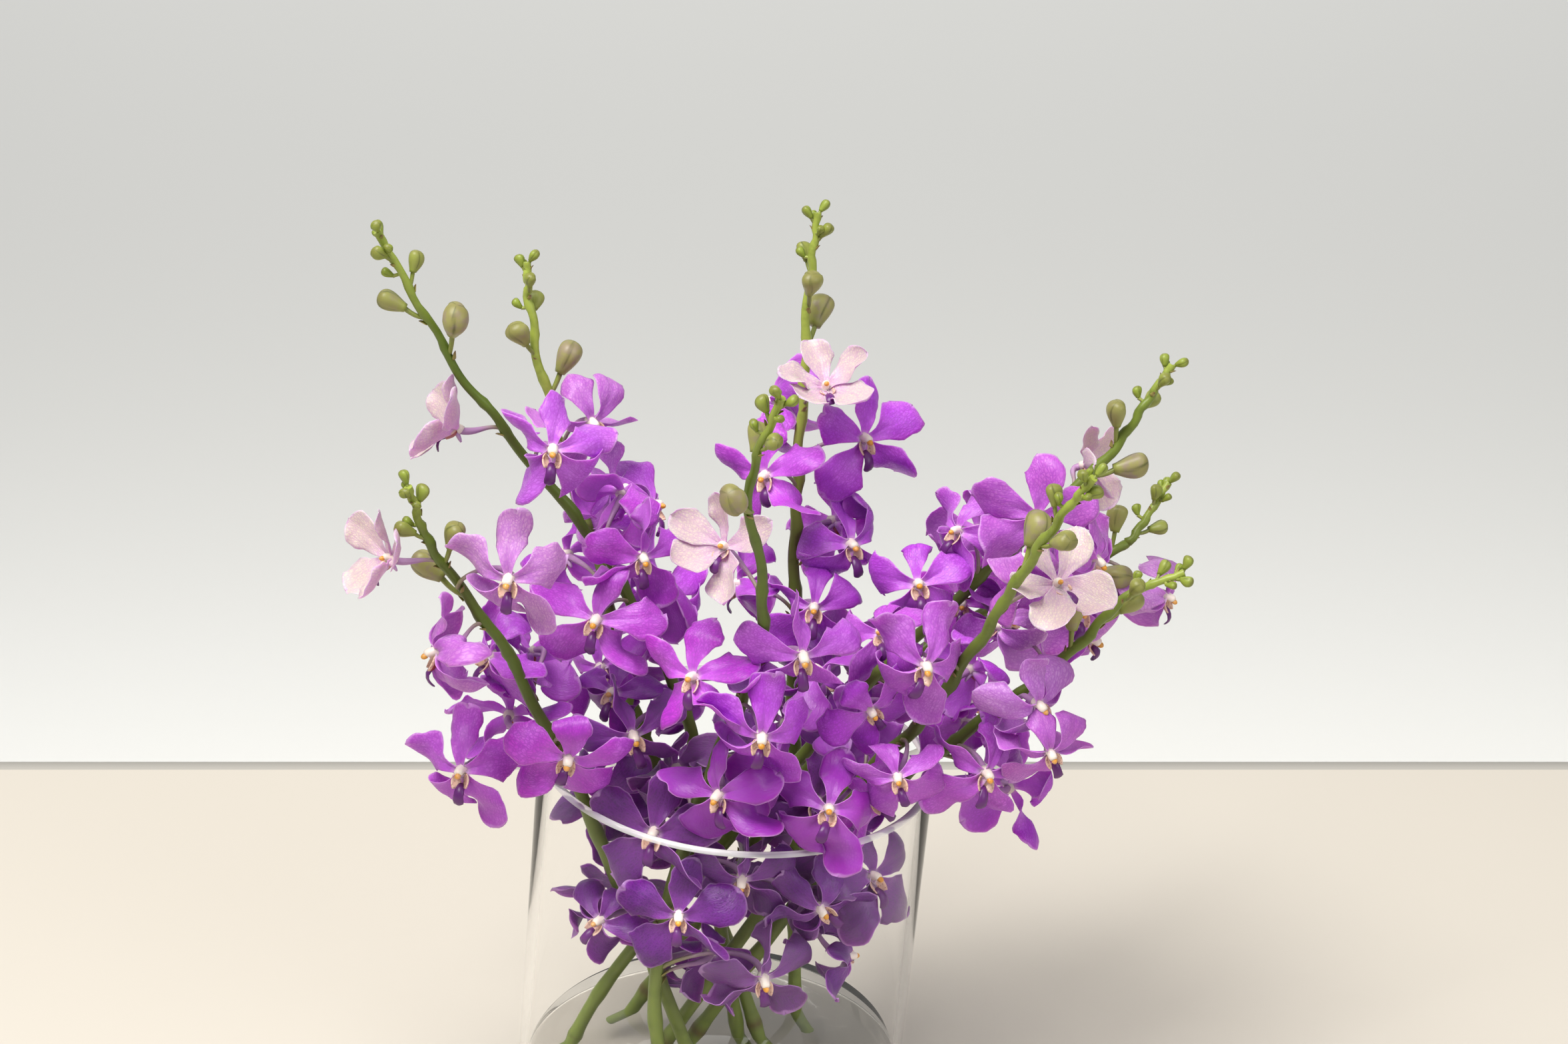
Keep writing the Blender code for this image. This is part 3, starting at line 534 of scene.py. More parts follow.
def plan():
    # Chooses a place for each bud and flower, so that none runs through another or through the vase.
    stems = {name: Stem(spray["stem"]) for name, spray in sprays.items()}
    space = Space()
    space.keep(vaseMesh(layout["clearance"]))
    for name, stem in stems.items():
        path, radii = stem.path()
        tube = tubeMesh(path, [r + layout["clearance"] for r in radii], layout["stemSides"])
        if not space.clear(tube):
            print("stem touches its neighbour:", name)
        space.keep(tube)
    buds = {name: [] for name in sprays}
    flowers = {name: [] for name in sprays}
    for name, stem in stems.items():
        for k, (distance, length, stalk) in enumerate(budSizes["buds"]):
            for extra in range(0, 360, layout["budNudge"]):
                turn = sprays[name]["rest"][3] + k * layout["budTurn"] + extra
                matrix, root = budFrame(stem, distance, turn, stalk)
                proxy = moved(readMesh(budShape(length, -layout["budGap"], layout["clearance"])), matrix)
                if space.clear(proxy):
                    space.keep(proxy)
                    buds[name].append((matrix, length, root))
                    break
            else:
                print("no room for bud", k, "of", name)
    blooms = {form: readMesh(flowerShape(form, layout["clearance"])) for form in bloomSizes["forms"]}
    seen = [(flower[0][1], name, flower) for name, spray in sprays.items() for flower in spray["seen"]]
    for k, (depth, name, (place, turn, rise, roll, form)) in enumerate(sorted(seen)):
        heart = Vector(place)
        length = stems[name].nearest(heart) - layout["pedicelUp"]
        chance = Random(layout["seed"] + k)
        faces = (turn, rise, roll)
        found = placeFlower(stems[name], heart, length, faces, form, 0.4, chance, space, blooms)
        if found:
            flowers[name].append(found)
        else:
            print("no room for the flower seen at", place, "of", name)
    for rank in range(max(spray["rest"][2] for spray in sprays.values())):
        for number, (name, spray) in enumerate(sprays.items()):
            low, high, count, first = spray["rest"]
            if rank >= count:
                continue
            stem = stems[name]
            chance = Random(layout["seed"] + 1000 * number + rank)
            form = chance.choice(["flat", "arched"])
            for nudge in layout["nudges"]:
                length = high - (high - low) * rank / (count - 1) + nudge
                away = stem.outward(length, first + rank * layout["flowerTurn"] + 3 * nudge)
                ahead = stem.direction(length)
                heart = stem.at(length) + away * layout["pedicelOut"] + ahead * layout["pedicelUp"]
                faces = (degrees(atan2(away.x, -away.y)), degrees(asin(away.z)) * 0.5 + 6, 0)
                found = placeFlower(stem, heart, length, faces, form, 1.0, chance, space, blooms)
                if found:
                    flowers[name].append(found)
                    break
            else:
                print("no room for flower", rank, "of", name)
    return stems, buds, flowers


def placeFlower(stem, heart, length, faces, form, freedom, chance, space, blooms):
    # Tries the flower's own place first, then moves, turns and shrinks it a little until it is clear.
    size = layout["paleSize"] if form == "pale" else 1.0
    most = layout["loose"]
    for attempt in range(layout["tries"]):
        loose = freedom * attempt / layout["tries"]
        angle = [own + chance.uniform(-most[key], most[key]) * loose
                 for own, key in zip(faces, ("turn", "rise", "roll"))]
        shift = Vector([chance.uniform(-most["shift"], most["shift"]) * loose for axis in range(3)])
        scale = size * (1.0 - most["shrink"] * attempt / layout["tries"])
        matrix = flowerFrame(heart + shift, *angle, scale)
        stalk = flowerStalk(stem, heart + shift, length, angle[0], angle[1], scale)
        path = stalkPath(stalk, layout["pedicelSteps"])
        covered = stem.radius(length) + layout["pedicelRadius"] + 2.5 * layout["clearance"]
        path[0] = path[0].lerp(path[1], min(0.9, covered / (path[1] - path[0]).length))
        tube = tubeMesh(path, [layout["pedicelRadius"] + layout["clearance"]] * len(path), 4)
        proxy = joined([moved(blooms[form], matrix), tube])
        if space.clear(proxy):
            space.keep(proxy)
            return matrix, stalk, form
    return None


stems, buds, flowers = plan()
print("stage: placed", sum(map(len, flowers.values())), "flowers and", sum(map(len, buds.values())), "buds")


def linear(hexColour):
    # an sRGB hex value as a linear colour
    channels = [int(hexColour[k:k + 2], 16) / 255 for k in (1, 3, 5)]
    return (*[c / 12.92 if c <= 0.04045 else ((c + 0.055) / 1.055)**2.4 for c in channels], 1.0)


def addNode(tree, kind, values=None):
    # A node with its settings and links. A key is the name of a property or a socket, or a socket's place, and
    # a value that is another node's output is linked.
    node = tree.nodes.new(kind)
    for key, value in (values or {}).items():
        if isinstance(key, str) and hasattr(node, key):
            setattr(node, key, value)
        elif isinstance(value, bpy.types.NodeSocket):
            tree.links.new(value, node.inputs[key])
        else:
            node.inputs[key].default_value = value
    return node


def newMaterial(name, settings):
    # a material with its shader, whose plain values are set on the shader itself
    material = bpy.data.materials.new(name)
    material.use_nodes = True
    shader = material.node_tree.nodes["Principled BSDF"]
    for key, value in settings.items():
        shader.inputs[key].default_value = value
    return material, material.node_tree, shader


def readValues(tree, keys):
    # what a finish reads: values that a piece carries at its points, and under "place" its object coordinates
    read = {key: addNode(tree, "ShaderNodeAttribute", {"attribute_name": key}).outputs[2] for key in keys}
    read["place"] = addNode(tree, "ShaderNodeTexCoord").outputs["Object"]
    return read


def layered(tree, look, colour, layers):
    # Lays colours over a first one. Each layer: what it follows, from, to and its share at both, its colour,
    # and for some a value that its share is multiplied by.
    for source, (low, high, first, last), over, *factors in layers:
        share = addNode(tree, "ShaderNodeMapRange", {"interpolation_type": "SMOOTHSTEP", 0: source, 1: low,
                                                     2: high, 3: first, 4: last}).outputs[0]
        for factor in factors:
            share = addNode(tree, "ShaderNodeMath", {"operation": "MULTIPLY", 0: share, 1: factor}).outputs[0]
        colour = addNode(tree, "ShaderNodeMix", {**colourMix, 0: share, 6: colour,
                                                 7: linear(look[over])}).outputs[2]
    return colour


def dress(tree, shader, colour, height, relief):
    # gives a shader its colour and a fine relief, whose strength and depth in millimetres are given
    strength, depth = relief
    bump = addNode(tree, "ShaderNodeBump", {"Strength": strength, "Distance": depth * mm, "Height": height})
    tree.links.new(bump.outputs[0], shader.inputs["Normal"])
    if colour:
        tree.links.new(colour, shader.inputs["Base Color"])
    return bump.outputs[0]


colourMix = {"data_type": "RGBA", "clamp_factor": True}

petalLook = {
    "cool": "#b642de",       # the body of a purple petal, between a cool and a warm hue
    "warm": "#c63ed0",
    "deep": "#9c34b8",       # the petals of a flower differ a little among themselves
    "light": "#cf74e8",      # where the colour thins out, towards the claw
    "net": "#9230ae",        # its veins
    "old": "#480c64",        # painted shade on the flowers low on a spray, inside the vase, also taken as the deeper colour of the oldest flowers
    "pale": "#d8cbba",       # a young flower near the tip of its spray
    "cream": "#efdcea",      # the claw, next to the heart
    "rim": "#e0b4ee",        # the thin edge, where light comes through
    "back": "#c27cd4",       # the outer side
    "cell": (1.3, 1.9),      # one mesh of the net of veins, across and along
    "streak": (0.7143, 6.25),    # one streak of darker colour, across and along
    "cloud": 13.333,         # one lighter patch
    "relief": (0.6, 0.3),
}


def petalMaterial():
    # Living petal, thin and waxy: a soft sheen, a net of darker veins and light coming through the edges
    settings = {"Roughness": 0.40, "IOR": 1.42, "Specular IOR Level": 0.50, "Subsurface Weight": 0.42,
                "Subsurface Radius": (1.0, 0.22, 1.0), "Subsurface Scale": 0.0024}
    material, tree, shader = newMaterial("orchidPetal", settings)
    read = readValues(tree, ("tone", "warm", "old", "shade", "along", "edge", "back"))
    flat = addNode(tree, "ShaderNodeUVMap", {"uv_map": "UVMap"}).outputs[0]    # one unit is 10 mm on the petal
    placed = {}
    for key in ("cell", "streak"):
        wide, tall = petalLook[key]
        placed[key] = addNode(tree, "ShaderNodeMapping", {"Scale": (10 / wide, 10 / tall, 1),
                                                          "Vector": flat}).outputs[0]
    swerve = addNode(tree, "ShaderNodeTexNoise", {"Scale": 0.8, "Detail": 1.0, "Vector": placed["cell"]})
    cells = addNode(tree, "ShaderNodeVectorMath", {"operation": "MULTIPLY_ADD", 0: swerve.outputs["Color"],
                                                   1: (0.9, 0.9, 0), 2: placed["cell"]}).outputs[0]
    net = addNode(tree, "ShaderNodeTexVoronoi", {"feature": "DISTANCE_TO_EDGE", "Scale": 1.0, "Randomness": 0.9,
                                                 "Vector": cells}).outputs["Distance"]
    streak = addNode(tree, "ShaderNodeTexNoise", {"Scale": 1.0, "Detail": 2.0,
                                                  "Vector": placed["streak"]}).outputs["Fac"]
    cloud = addNode(tree, "ShaderNodeTexNoise", {"Scale": 1000 / petalLook["cloud"], "Detail": 3.0,
                                                 "Vector": read["place"]}).outputs["Fac"]
    # pale flowers, and flowers darkened by the painted shade low on a spray, show less of the veins and of the
    # lighter parts
    purple = addNode(tree, "ShaderNodeMath", {"operation": "MULTIPLY_ADD", 0: read["tone"], 1: -0.65, 2: 1.0})
    purple = addNode(tree, "ShaderNodeMath", {"operation": "MULTIPLY_ADD", 0: read["old"], 1: -0.60,
                                              2: purple.outputs[0]}).outputs[0]
    colour = addNode(tree, "ShaderNodeMix", {**colourMix, 0: read["warm"], 6: linear(petalLook["cool"]),
                                             7: linear(petalLook["warm"])}).outputs[2]
    colour = layered(tree, petalLook, colour, [
        (read["shade"], (0.35, 1.0, 0.0, 0.50), "deep"),
        (cloud, (0.40, 0.68, 0.0, 0.55), "light"),
        # painted shade: darkens the flowers low on a spray, inside the vase, also taken as their greater age
        (read["old"], (0.0, 1.0, 0.0, 0.94), "old"),
        (read["tone"], (0.0, 1.0, 0.0, 1.0), "pale"),
        (streak, (0.42, 0.72, 0.0, 0.42), "net", purple),
        (net, (0.0, 0.26, 0.55, 0.0), "net", purple),
        (read["back"], (0.4, 0.6, 0.0, 0.40), "back", purple),
        (read["along"], (0.10, 0.62, 0.50, 0.0), "light", purple),
        (read["along"], (0.02, 0.17, 0.78, 0.0), "cream"),
        (read["edge"], (0.90, 1.0, 0.0, 0.42), "rim"),
    ])
    height = addNode(tree, "ShaderNodeMath", {"operation": "MULTIPLY_ADD", 0: streak, 1: 0.8, 2: net})
    dress(tree, shader, colour, height.outputs[0], petalLook["relief"])
    return material


lipLook = {
    # lobe, wings, throat, column, cap, spur
    "parts": ["#622470", "#e2bba6", "#a03a22", "#f1e4d8", "#dc9a34", "#c49ccc"],
    "spots": "#8a3a30",
    "bloom": "#f0e2e4",      # waxy lighter patches
    "spot": 1.1111,          # size of one spot and of one waxy patch
    "patch": 3.3333,
    "relief": (0.15, 0.3),
}


def lipMaterial():
    # Lip and column, fleshier and glossier than a petal: each part of it has a colour of its own
    settings = {"Roughness": 0.34, "IOR": 1.45, "Subsurface Weight": 0.12, "Subsurface Radius": (1.0, 0.6, 0.7),
                "Subsurface Scale": 0.0015, "Coat Weight": 0.08, "Coat Roughness": 0.3}
    material, tree, shader = newMaterial("orchidLip", settings)
    read = readValues(tree, ["part"])
    ramp = addNode(tree, "ShaderNodeValToRGB", {0: read["part"]})
    ramp.color_ramp.interpolation = "CONSTANT"
    count = len(lipLook["parts"])
    while len(ramp.color_ramp.elements) < count:
        ramp.color_ramp.elements.new(0.5)
    for k, element in enumerate(ramp.color_ramp.elements):
        element.position = max(0.0, (k - 0.5) / (count - 1))
        element.color = linear(lipLook["parts"][k])
    speck, soft = [addNode(tree, "ShaderNodeTexNoise", {"Scale": 1000 / lipLook[key], "Detail": detail,
                                                        "Vector": read["place"]}).outputs["Fac"]
                   for key, detail in (("spot", 1.0), ("patch", 2.0))]
    part = read["part"]
    wings = addNode(tree, "ShaderNodeMath", {"operation": "COMPARE", 0: part, 1: 0.2, 2: 0.05}).outputs[0]
    fleshy = addNode(tree, "ShaderNodeMath", {"operation": "GREATER_THAN", 0: part, 1: 0.1}).outputs[0]
    colour = layered(tree, lipLook, ramp.outputs[0], [
        (speck, (0.56, 0.68, 0.0, 0.6), "spots", wings),
        (soft, (0.4, 0.7, 0.0, 0.18), "bloom", fleshy),
    ])
    dress(tree, shader, colour, soft, lipLook["relief"])
    return material


stalkLook = {
    "low": "#74823c",        # under the flowers
    "stem": "#566a20",
    "fresh": "#a0ae4c",      # the lighter green of the youngest sprays and of every tip
    "mottle": "#46521a",
    "root": "#8b8a4e",       # a flower's stalk, at the stem
    "pedicel": "#b184b4",    # and from there to the flower
    "bloom": "#cfaecb",
    "scar": "#5d4a2a",       # ring where a leaf or a flower stood
    "patch": 7.1429,         # size of one darker patch
    "relief": (0.25, 0.4),
}


def stalkMaterial():
    # Fresh green stem and the pinkish stalks of its flowers: smooth skin with soft darker patches
    settings = {"Roughness": 0.38, "IOR": 1.45, "Specular IOR Level": 0.45, "Subsurface Weight": 0.08,
                "Subsurface Radius": (0.6, 1.0, 0.3), "Subsurface Scale": 0.002}
    material, tree, shader = newMaterial("orchidStalk", settings)
    read = readValues(tree, ("tint", "scar", "along", "fresh"))
    mottle = addNode(tree, "ShaderNodeTexNoise", {"Scale": 1000 / stalkLook["patch"], "Detail": 4.0,
                                                  "Roughness": 0.6, "Vector": read["place"]}).outputs["Fac"]
    green = layered(tree, stalkLook, linear(stalkLook["low"]), [
        (read["along"], (0.15, 0.60, 0.0, 1.0), "stem"),
        (read["fresh"], (0.0, 1.0, 0.0, 1.0), "fresh"),
        (mottle, (0.45, 0.8, 0.0, 0.45), "mottle"),
    ])
    pinkish = layered(tree, stalkLook, linear(stalkLook["root"]), [
        (read["tint"], (0.1, 0.7, 0.0, 1.0), "pedicel"),
        (mottle, (0.4, 0.75, 0.0, 0.35), "bloom"),
    ])
    share = addNode(tree, "ShaderNodeMapRange", {"interpolation_type": "SMOOTHSTEP", 0: read["tint"], 1: 0.0,
                                                 2: 0.08}).outputs[0]
    colour = addNode(tree, "ShaderNodeMix", {**colourMix, 0: share, 6: green, 7: pinkish}).outputs[2]
    colour = layered(tree, stalkLook, colour, [(read["scar"], (0.35, 1.0, 0.0, 0.8), "scar")])
    dress(tree, shader, colour, mottle, stalkLook["relief"])
    return material


budLook = {
    "young": "#8a9a38",
    "ripe": "#9c985c",
    "flush": "#957a86",      # dull purple that shows on the sides of a bud about to open
    "tip": "#6d6536",
    "seam": "#4f5526",       # where one sepal's edge lies on the next
    "bract": "#9a8c50",      # the dry scale under each flower and bud
    "bractTip": "#6b4a30",
    "patch": 5.0,
    "relief": (0.25, 0.4),
}


def budMaterial():
    # Closed bud: leathery sepals pressed together, green when young and dull purple before it opens
    settings = {"Roughness": 0.42, "IOR": 1.45, "Specular IOR Level": 0.5, "Subsurface Weight": 0.06,
                "Subsurface Radius": (0.8, 0.9, 0.4), "Subsurface Scale": 0.002}
    material, tree, shader = newMaterial("orchidBud", settings)
    read = readValues(tree, ("ripe", "along", "seam", "bract"))
    mottle = addNode(tree, "ShaderNodeTexNoise", {"Scale": 1000 / budLook["patch"], "Detail": 4.0,
                                                  "Vector": read["place"]}).outputs["Fac"]
    flush, dry = [addNode(tree, "ShaderNodeMath", {"operation": "MULTIPLY", 0: one, 1: other}).outputs[0]
                  for one, other in ((read["ripe"], mottle), (read["bract"], read["along"]))]
    colour = addNode(tree, "ShaderNodeMix", {**colourMix, 0: read["ripe"], 6: linear(budLook["young"]),
                                             7: linear(budLook["ripe"])}).outputs[2]
    colour = layered(tree, budLook, colour, [
        (flush, (0.42, 0.66, 0.0, 0.50), "flush"),
        (read["along"], (0.70, 1.0, 0.0, 0.55), "tip"),
        (read["along"], (0.0, 0.35, 0.55, 0.0), "young"),
        (read["seam"], (0.2, 1.0, 0.0, 0.75), "seam"),
        (read["bract"], (0.0, 1.0, 0.0, 0.85), "bract"),
        (dry, (0.4, 1.0, 0.0, 0.85), "bractTip"),
    ])
    dress(tree, shader, colour, mottle, budLook["relief"])
    return material


clearLook = {
    "wall": 1.08,            # index, low because a thin even wall hardly bends what is seen through it
    "base": 1.5,             # index of the thick base, which does
    "water": 1.333,
    "skin": 1.42,            # index of the wall's polished skin, which gives the reflections their strength
    "glassWave": (111.0, 0.08, 2.0),    # one wave of the surface, its strength and its depth
    "waterWave": (40.0, 0.03, 1.0),
}


def clearMaterial(name, index, wave, clear=1.0, rough=0.0, skin=0.0):
    # Soda-lime glass, blown and fire-polished, or tap water: no colour of its own, sharp reflections. Where
    # clear is below 1, the rest is diffuse white, which paints light.
    settings = {"Base Color": linear("#ffffff"), "Roughness": rough, "IOR": clearLook[index],
                "Transmission Weight": clear, "Coat Weight": skin, "Coat IOR": clearLook["skin"],
                "Coat Roughness": 0.0}
    material, tree, shader = newMaterial(name, settings)
    size, strength, depth = clearLook[wave]
    swell = addNode(tree, "ShaderNodeTexNoise", {"Scale": 1000 / size, "Detail": 1.0,
                                                 "Vector": readValues(tree, [])["place"]}).outputs["Fac"]
    relief = dress(tree, shader, None, swell, (strength, depth))
    if skin:
        tree.links.new(relief, shader.inputs["Coat Normal"])
    return material


petalFinish, lipFinish, stalkFinish = petalMaterial(), lipMaterial(), stalkMaterial()
budFinish, waterFinish = budMaterial(), clearMaterial("clearWater", "water", "waterWave")
glassFinishes = [
    clearMaterial("clearGlass", "wall", "glassWave", skin=0.13),
    # painted light: the rim is partly white and diffuse, standing for the light that the wall leads up to it
    clearMaterial("glassRimPaintedLight", "wall", "glassWave", clear=0.45, rough=0.1, skin=1.0),
    clearMaterial("clearGlassInside", "wall", "glassWave"),
    clearMaterial("clearGlassBase", "base", "glassWave"),
]
print("stage: materials")


def newMesh(name, points, faces, values=None, uv=None):
    # a mesh object in metres from points in millimetres, with its values as attributes, not yet in the scene
    mesh = bpy.data.meshes.new(name)
    mesh.from_pydata([tuple(p) for p in np.asarray(points) * mm], [], faces)
    for key, value in (values or {}).items():
        attribute = mesh.attributes.new(key, "FLOAT", "POINT")
        attribute.data.foreach_set("value", np.asarray(value, np.float32))
    if uv is not None:
        corner = np.zeros(len(mesh.loops), np.int32)
        mesh.loops.foreach_get("vertex_index", corner)
        mesh.uv_layers.new(name="UVMap").data.foreach_set("uv", np.asarray(uv, np.float32)[corner].ravel())
    shape = bmesh.new()
    shape.from_mesh(mesh)
    bmesh.ops.remove_doubles(shape, verts=shape.verts, dist=0.000004)
    shape.to_mesh(mesh)
    shape.free()
    mesh.shade_smooth()
    return bpy.data.objects.new(name, mesh)


def gathered(parts):
    # several (points, faces, values, uv) as one
    base, points, faces, uv = 0, [], [], []
    values = {key: [] for key in parts[0][2]}
    for more, theirs, their, theirUv in parts:
        points.append(more)
        faces += [tuple(base + i for i in face) for face in theirs]
        for key in values:
            values[key].append(their[key])
        uv.append(theirUv)
        base += len(more)
    values = {key: np.concatenate(theirs) for key, theirs in values.items()}
    return np.concatenate(points), faces, values, np.concatenate(uv)


def shellOf(grid, half):
    # a closed thin shell from a grid of points (rows, columns, 3) and its half thickness at each
    rows, columns = grid.shape[:2]
    slope = np.cross(np.gradient(grid, axis=0), np.gradient(grid, axis=1))
    slope /= np.maximum(np.linalg.norm(slope, axis=2, keepdims=True), 1e-9)
    slope[-1] = slope[-2]
    points = np.concatenate([(grid + slope * half[..., None]).reshape(-1, 3),
                             (grid - slope * half[..., None]).reshape(-1, 3)])
    count = rows * columns
    faces = []
    for i in range(rows - 1):
        for j in range(columns - 1):
            a = i * columns + j
            b, c, d = a + columns, a + columns + 1, a + 1
            faces += [(a, b, c, d), (count + d, count + c, count + b, count + a)]
    border = [i * columns for i in range(rows)] + [(rows - 1) * columns + j for j in range(1, columns)]
    border += [i * columns + columns - 1 for i in range(rows - 2, -1, -1)]
    border += [j for j in range(columns - 2, 0, -1)]
    for k, a in enumerate(border):
        b = border[(k + 1) % len(border)]
        faces.append((a, count + a, count + b, b))
    return points, faces


def bothSides(values):
    # values on a grid of points, for both faces of its shell
    return np.tile(values.ravel(), 2)


def smooth(value, low, high):
    share = np.clip((np.asarray(value) - low) / (high - low), 0, 1)
    return share * share * (3 - 2 * share)


petalForm = {
    # A pair is the lowest and the highest of a random draw.
    "widest": (0.60, 0.72),       # where along its length a petal is widest
    "width": (0.80, 1.04),        # beside the measured width and length
    "length": (0.94, 1.06),
    "rise": (-0.15, 0.25),        # beside the rise and arch of the flower's form
    "arch": (-0.25, 0.20),
    # curl of the tip in radians, and how much the twist differs, in degrees
    "moods": [(0.2, 24), (0.4, 30), (0.7, 40), (1.8, 26), (-1.1, 34), (0.9, 70), (1.2, 50)],
    "paleMood": (-0.2, 14),
    "curl": (-0.4, 0.4),
    "sideways": (-0.55, 0.55),    # bend to the side in radians, and more of it towards the tip
    "hook": (-0.3, 0.3),
    "tilt": 10,                   # turn of the whole petal, in degrees
    "roll": (0.05, 0.48),         # how far its edges roll back
    "paleRoll": (-0.40, -0.15),   # a young flower's petals are cupped instead
    "beat": (6, 11),              # waves of the edge: how close they are, and their height
    "height": (0.5, 2.1),
    "warp": (-0.9, 0.9),          # a slower wave over the whole blade
    "warpBeat": (1.0, 2.2),
    "crease": 0.42,               # depth of the groove along the middle
    "dent": (-0.02, 0.07),        # notch at the tip, as a share of the length
}


def petal(angle, length, halfWidth, form, limp, chance):
    # one petal or sepal: a narrow channelled claw that widens to a round blade, arched, twisted and wavy
    def draw(key):
        return chance.uniform(*petalForm[key])

    rise, arch, twist = bloomSizes["forms"][form]
    t = 1 - (1 - np.linspace(0, 1, bloomSizes["rows"] + 1))**1.4
    s = np.linspace(-1, 1, bloomSizes["columns"] + 1)[None, :]
    full = draw("widest")
    wide = np.where(t > full, np.sqrt(np.clip(1 - ((t - full) / (1 - full))**2, 0, 1)),
                    0.20 + 0.80 * smooth(t, 0.05, full))
    width = (halfWidth * bloomSizes["wider"] * draw("width") * wide)[:, None]
    length = length * bloomSizes["longer"] * draw("length")
    side = 1 if angle > 90 else -1
    pitch = np.arctan(rise + draw("rise") + 2 * (arch + draw("arch")) * t)
    mood = chance.choice(petalForm["moods"])
    curl, spin = mood if form != "pale" else petalForm["paleMood"]
    pitch = pitch - (curl + draw("curl")) * smooth(t, 0.50, 1.0) - limp * smooth(t, 0.0, 0.7)
    yaw = draw("sideways") * t + draw("hook") * t**2
    step = np.diff(t, prepend=0) * length
    ahead = np.stack([np.cos(pitch) * np.cos(yaw), np.cos(pitch) * np.sin(yaw), np.sin(pitch)], axis=1)
    line = np.cumsum(ahead * step[:, None], axis=0)
    beside = np.stack([-np.sin(yaw), np.cos(yaw), 0 * yaw], axis=1)
    over = np.cross(ahead, beside)
    turn = np.radians(twist * side + chance.gauss(0, spin)) * smooth(t, 0.10, 0.70)
    turn = (turn + np.radians(chance.gauss(0, petalForm["tilt"])))[:, None]
    beside, over = beside * np.cos(turn) + over * np.sin(turn), over * np.cos(turn) - beside * np.sin(turn)
    t = t[:, None]
    roll = draw("roll" if form != "pale" else "paleRoll")
    lift = -roll * width * s**2 * smooth(t, 0.2, 0.6)
    lift = lift + 0.75 * width * s**2 * (1 - smooth(t, 0.12, 0.42))
    edging = 0 * lift
    for half in (-1, 1):
        beat, phase, height = draw("beat"), chance.uniform(0, tau), draw("height")
        wave = height * np.sin(beat * t + phase) + 0.35 * np.sin(2.6 * beat * t + 2 * phase)
        lift = lift + wave * np.clip(half * s, 0, 1)**1.9 * smooth(t, 0.22, 0.6)
        notches = 0.08 * np.sin(1.4 * beat * t + 3 * phase) + 0.03 * np.sin(3.7 * beat * t + phase)
        edging = edging + notches * np.clip(half * s, 0, 1)**2 * smooth(t, 0.3, 0.6)
    lift = lift + draw("warp") * np.sin(pi * t * draw("warpBeat")) * s * smooth(t, 0.2, 0.6)
    crease = petalForm["crease"] * np.exp(-(s / 0.13)**2)
    lift = lift - crease * smooth(t, 0.05, 0.2) * (1 - 0.6 * smooth(t, 0.7, 0.95))
    across = width * s * (1 - 0.10 * roll * s**2) * (1 + edging)
    dent = draw("dent") * length * np.exp(-(s / 0.35)**2) * smooth(t, 0.78, 1.0)
    grid = line[:, None] + beside[:, None] * across[..., None] + over[:, None] * lift[..., None]
    grid = grid - ahead[:, None] * dent[..., None]
    a = radians(angle)
    frame = np.array([(cos(a), sin(a), 0), (-sin(a), cos(a), 0), (0, 0, 1)])
    half = bloomSizes["thick"] * (1 - 0.75 * np.abs(s)**3) * (1 - 0.55 * smooth(t, 0.75, 1.0)) + 0 * t
    points, faces = shellOf(grid @ frame, half)
    rim = np.sqrt(1 - (1 - np.abs(s)) * (1 - smooth(t, 0.55, 1.0)**3))**3
    values = {
        "along": bothSides(t + 0 * s),
        "edge": bothSides(rim),
        "back": np.repeat([0.0, 1.0], t.size * s.size),
        "free": bothSides(smooth(t, 0.1, 0.7) + 0 * s),
        "shade": np.full(2 * t.size * s.size, chance.random()),
    }
    shift = chance.uniform(0, 40)      # so that no two petals have the same veins
    uv = np.stack([bothSides(across + 0 * t), bothSides(length * t + 0 * s)], axis=1) / 10 + shift
    return points, faces, values, uv


lipSizes = {
    # each part: sides, the number of its colour, and rows of (to the front, up, half width, half height)
    "lobe": (12, 0, [(-5.6, 2.6, 1.5, 0.7), (-7.0, 4.8, 2.2, 0.85), (-8.8, 6.3, 2.3, 0.7),
                     (-10.8, 7.0, 2.4, 0.62), (-12.8, 6.8, 2.6, 0.58), (-14.4, 5.9, 2.3, 0.5),
                     (-15.2, 5.2, 1.3, 0.35)]),
    "column": (12, 3, [(0.6, -1.4, 2.7, 2.6), (0.8, 0.8, 2.8, 2.5), (0.9, 2.6, 2.3, 2.1),
                       (0.7, 4.4, 2.3, 2.0), (0.4, 5.8, 2.1, 1.8), (0.1, 6.6, 1.3, 1.1)]),
    "cap": (10, 4, [(-0.1, 5.2, 1.1, 1.0), (-0.5, 6.2, 1.55, 1.4), (-0.9, 7.2, 1.5, 1.3),
                    (-1.2, 7.9, 1.0, 0.9), (-1.4, 8.2, 0.4, 0.4)]),
    "spur": (8, 5, [(-1.4, 1.0, 1.7, 1.5), (-2.6, -1.0, 1.5, 1.3), (-4.0, -2.9, 1.1, 1.0),
                    (-5.0, -4.2, 0.5, 0.5)]),
    "sway": [0, 0, 0.2, 0.5, 0.8, 1, 1],     # how far each row of the lobe moves aside, and up or down
    "drop": [0, 0, 0, 0.5, 1, 1.3, 1.5],
    "ridges": 0.16,          # three keels along the lobe
    "cupThick": 0.3,         # half thickness of the cup
    "wing": 0.84,            # how far from its middle the cup is as pale inside as outside
}


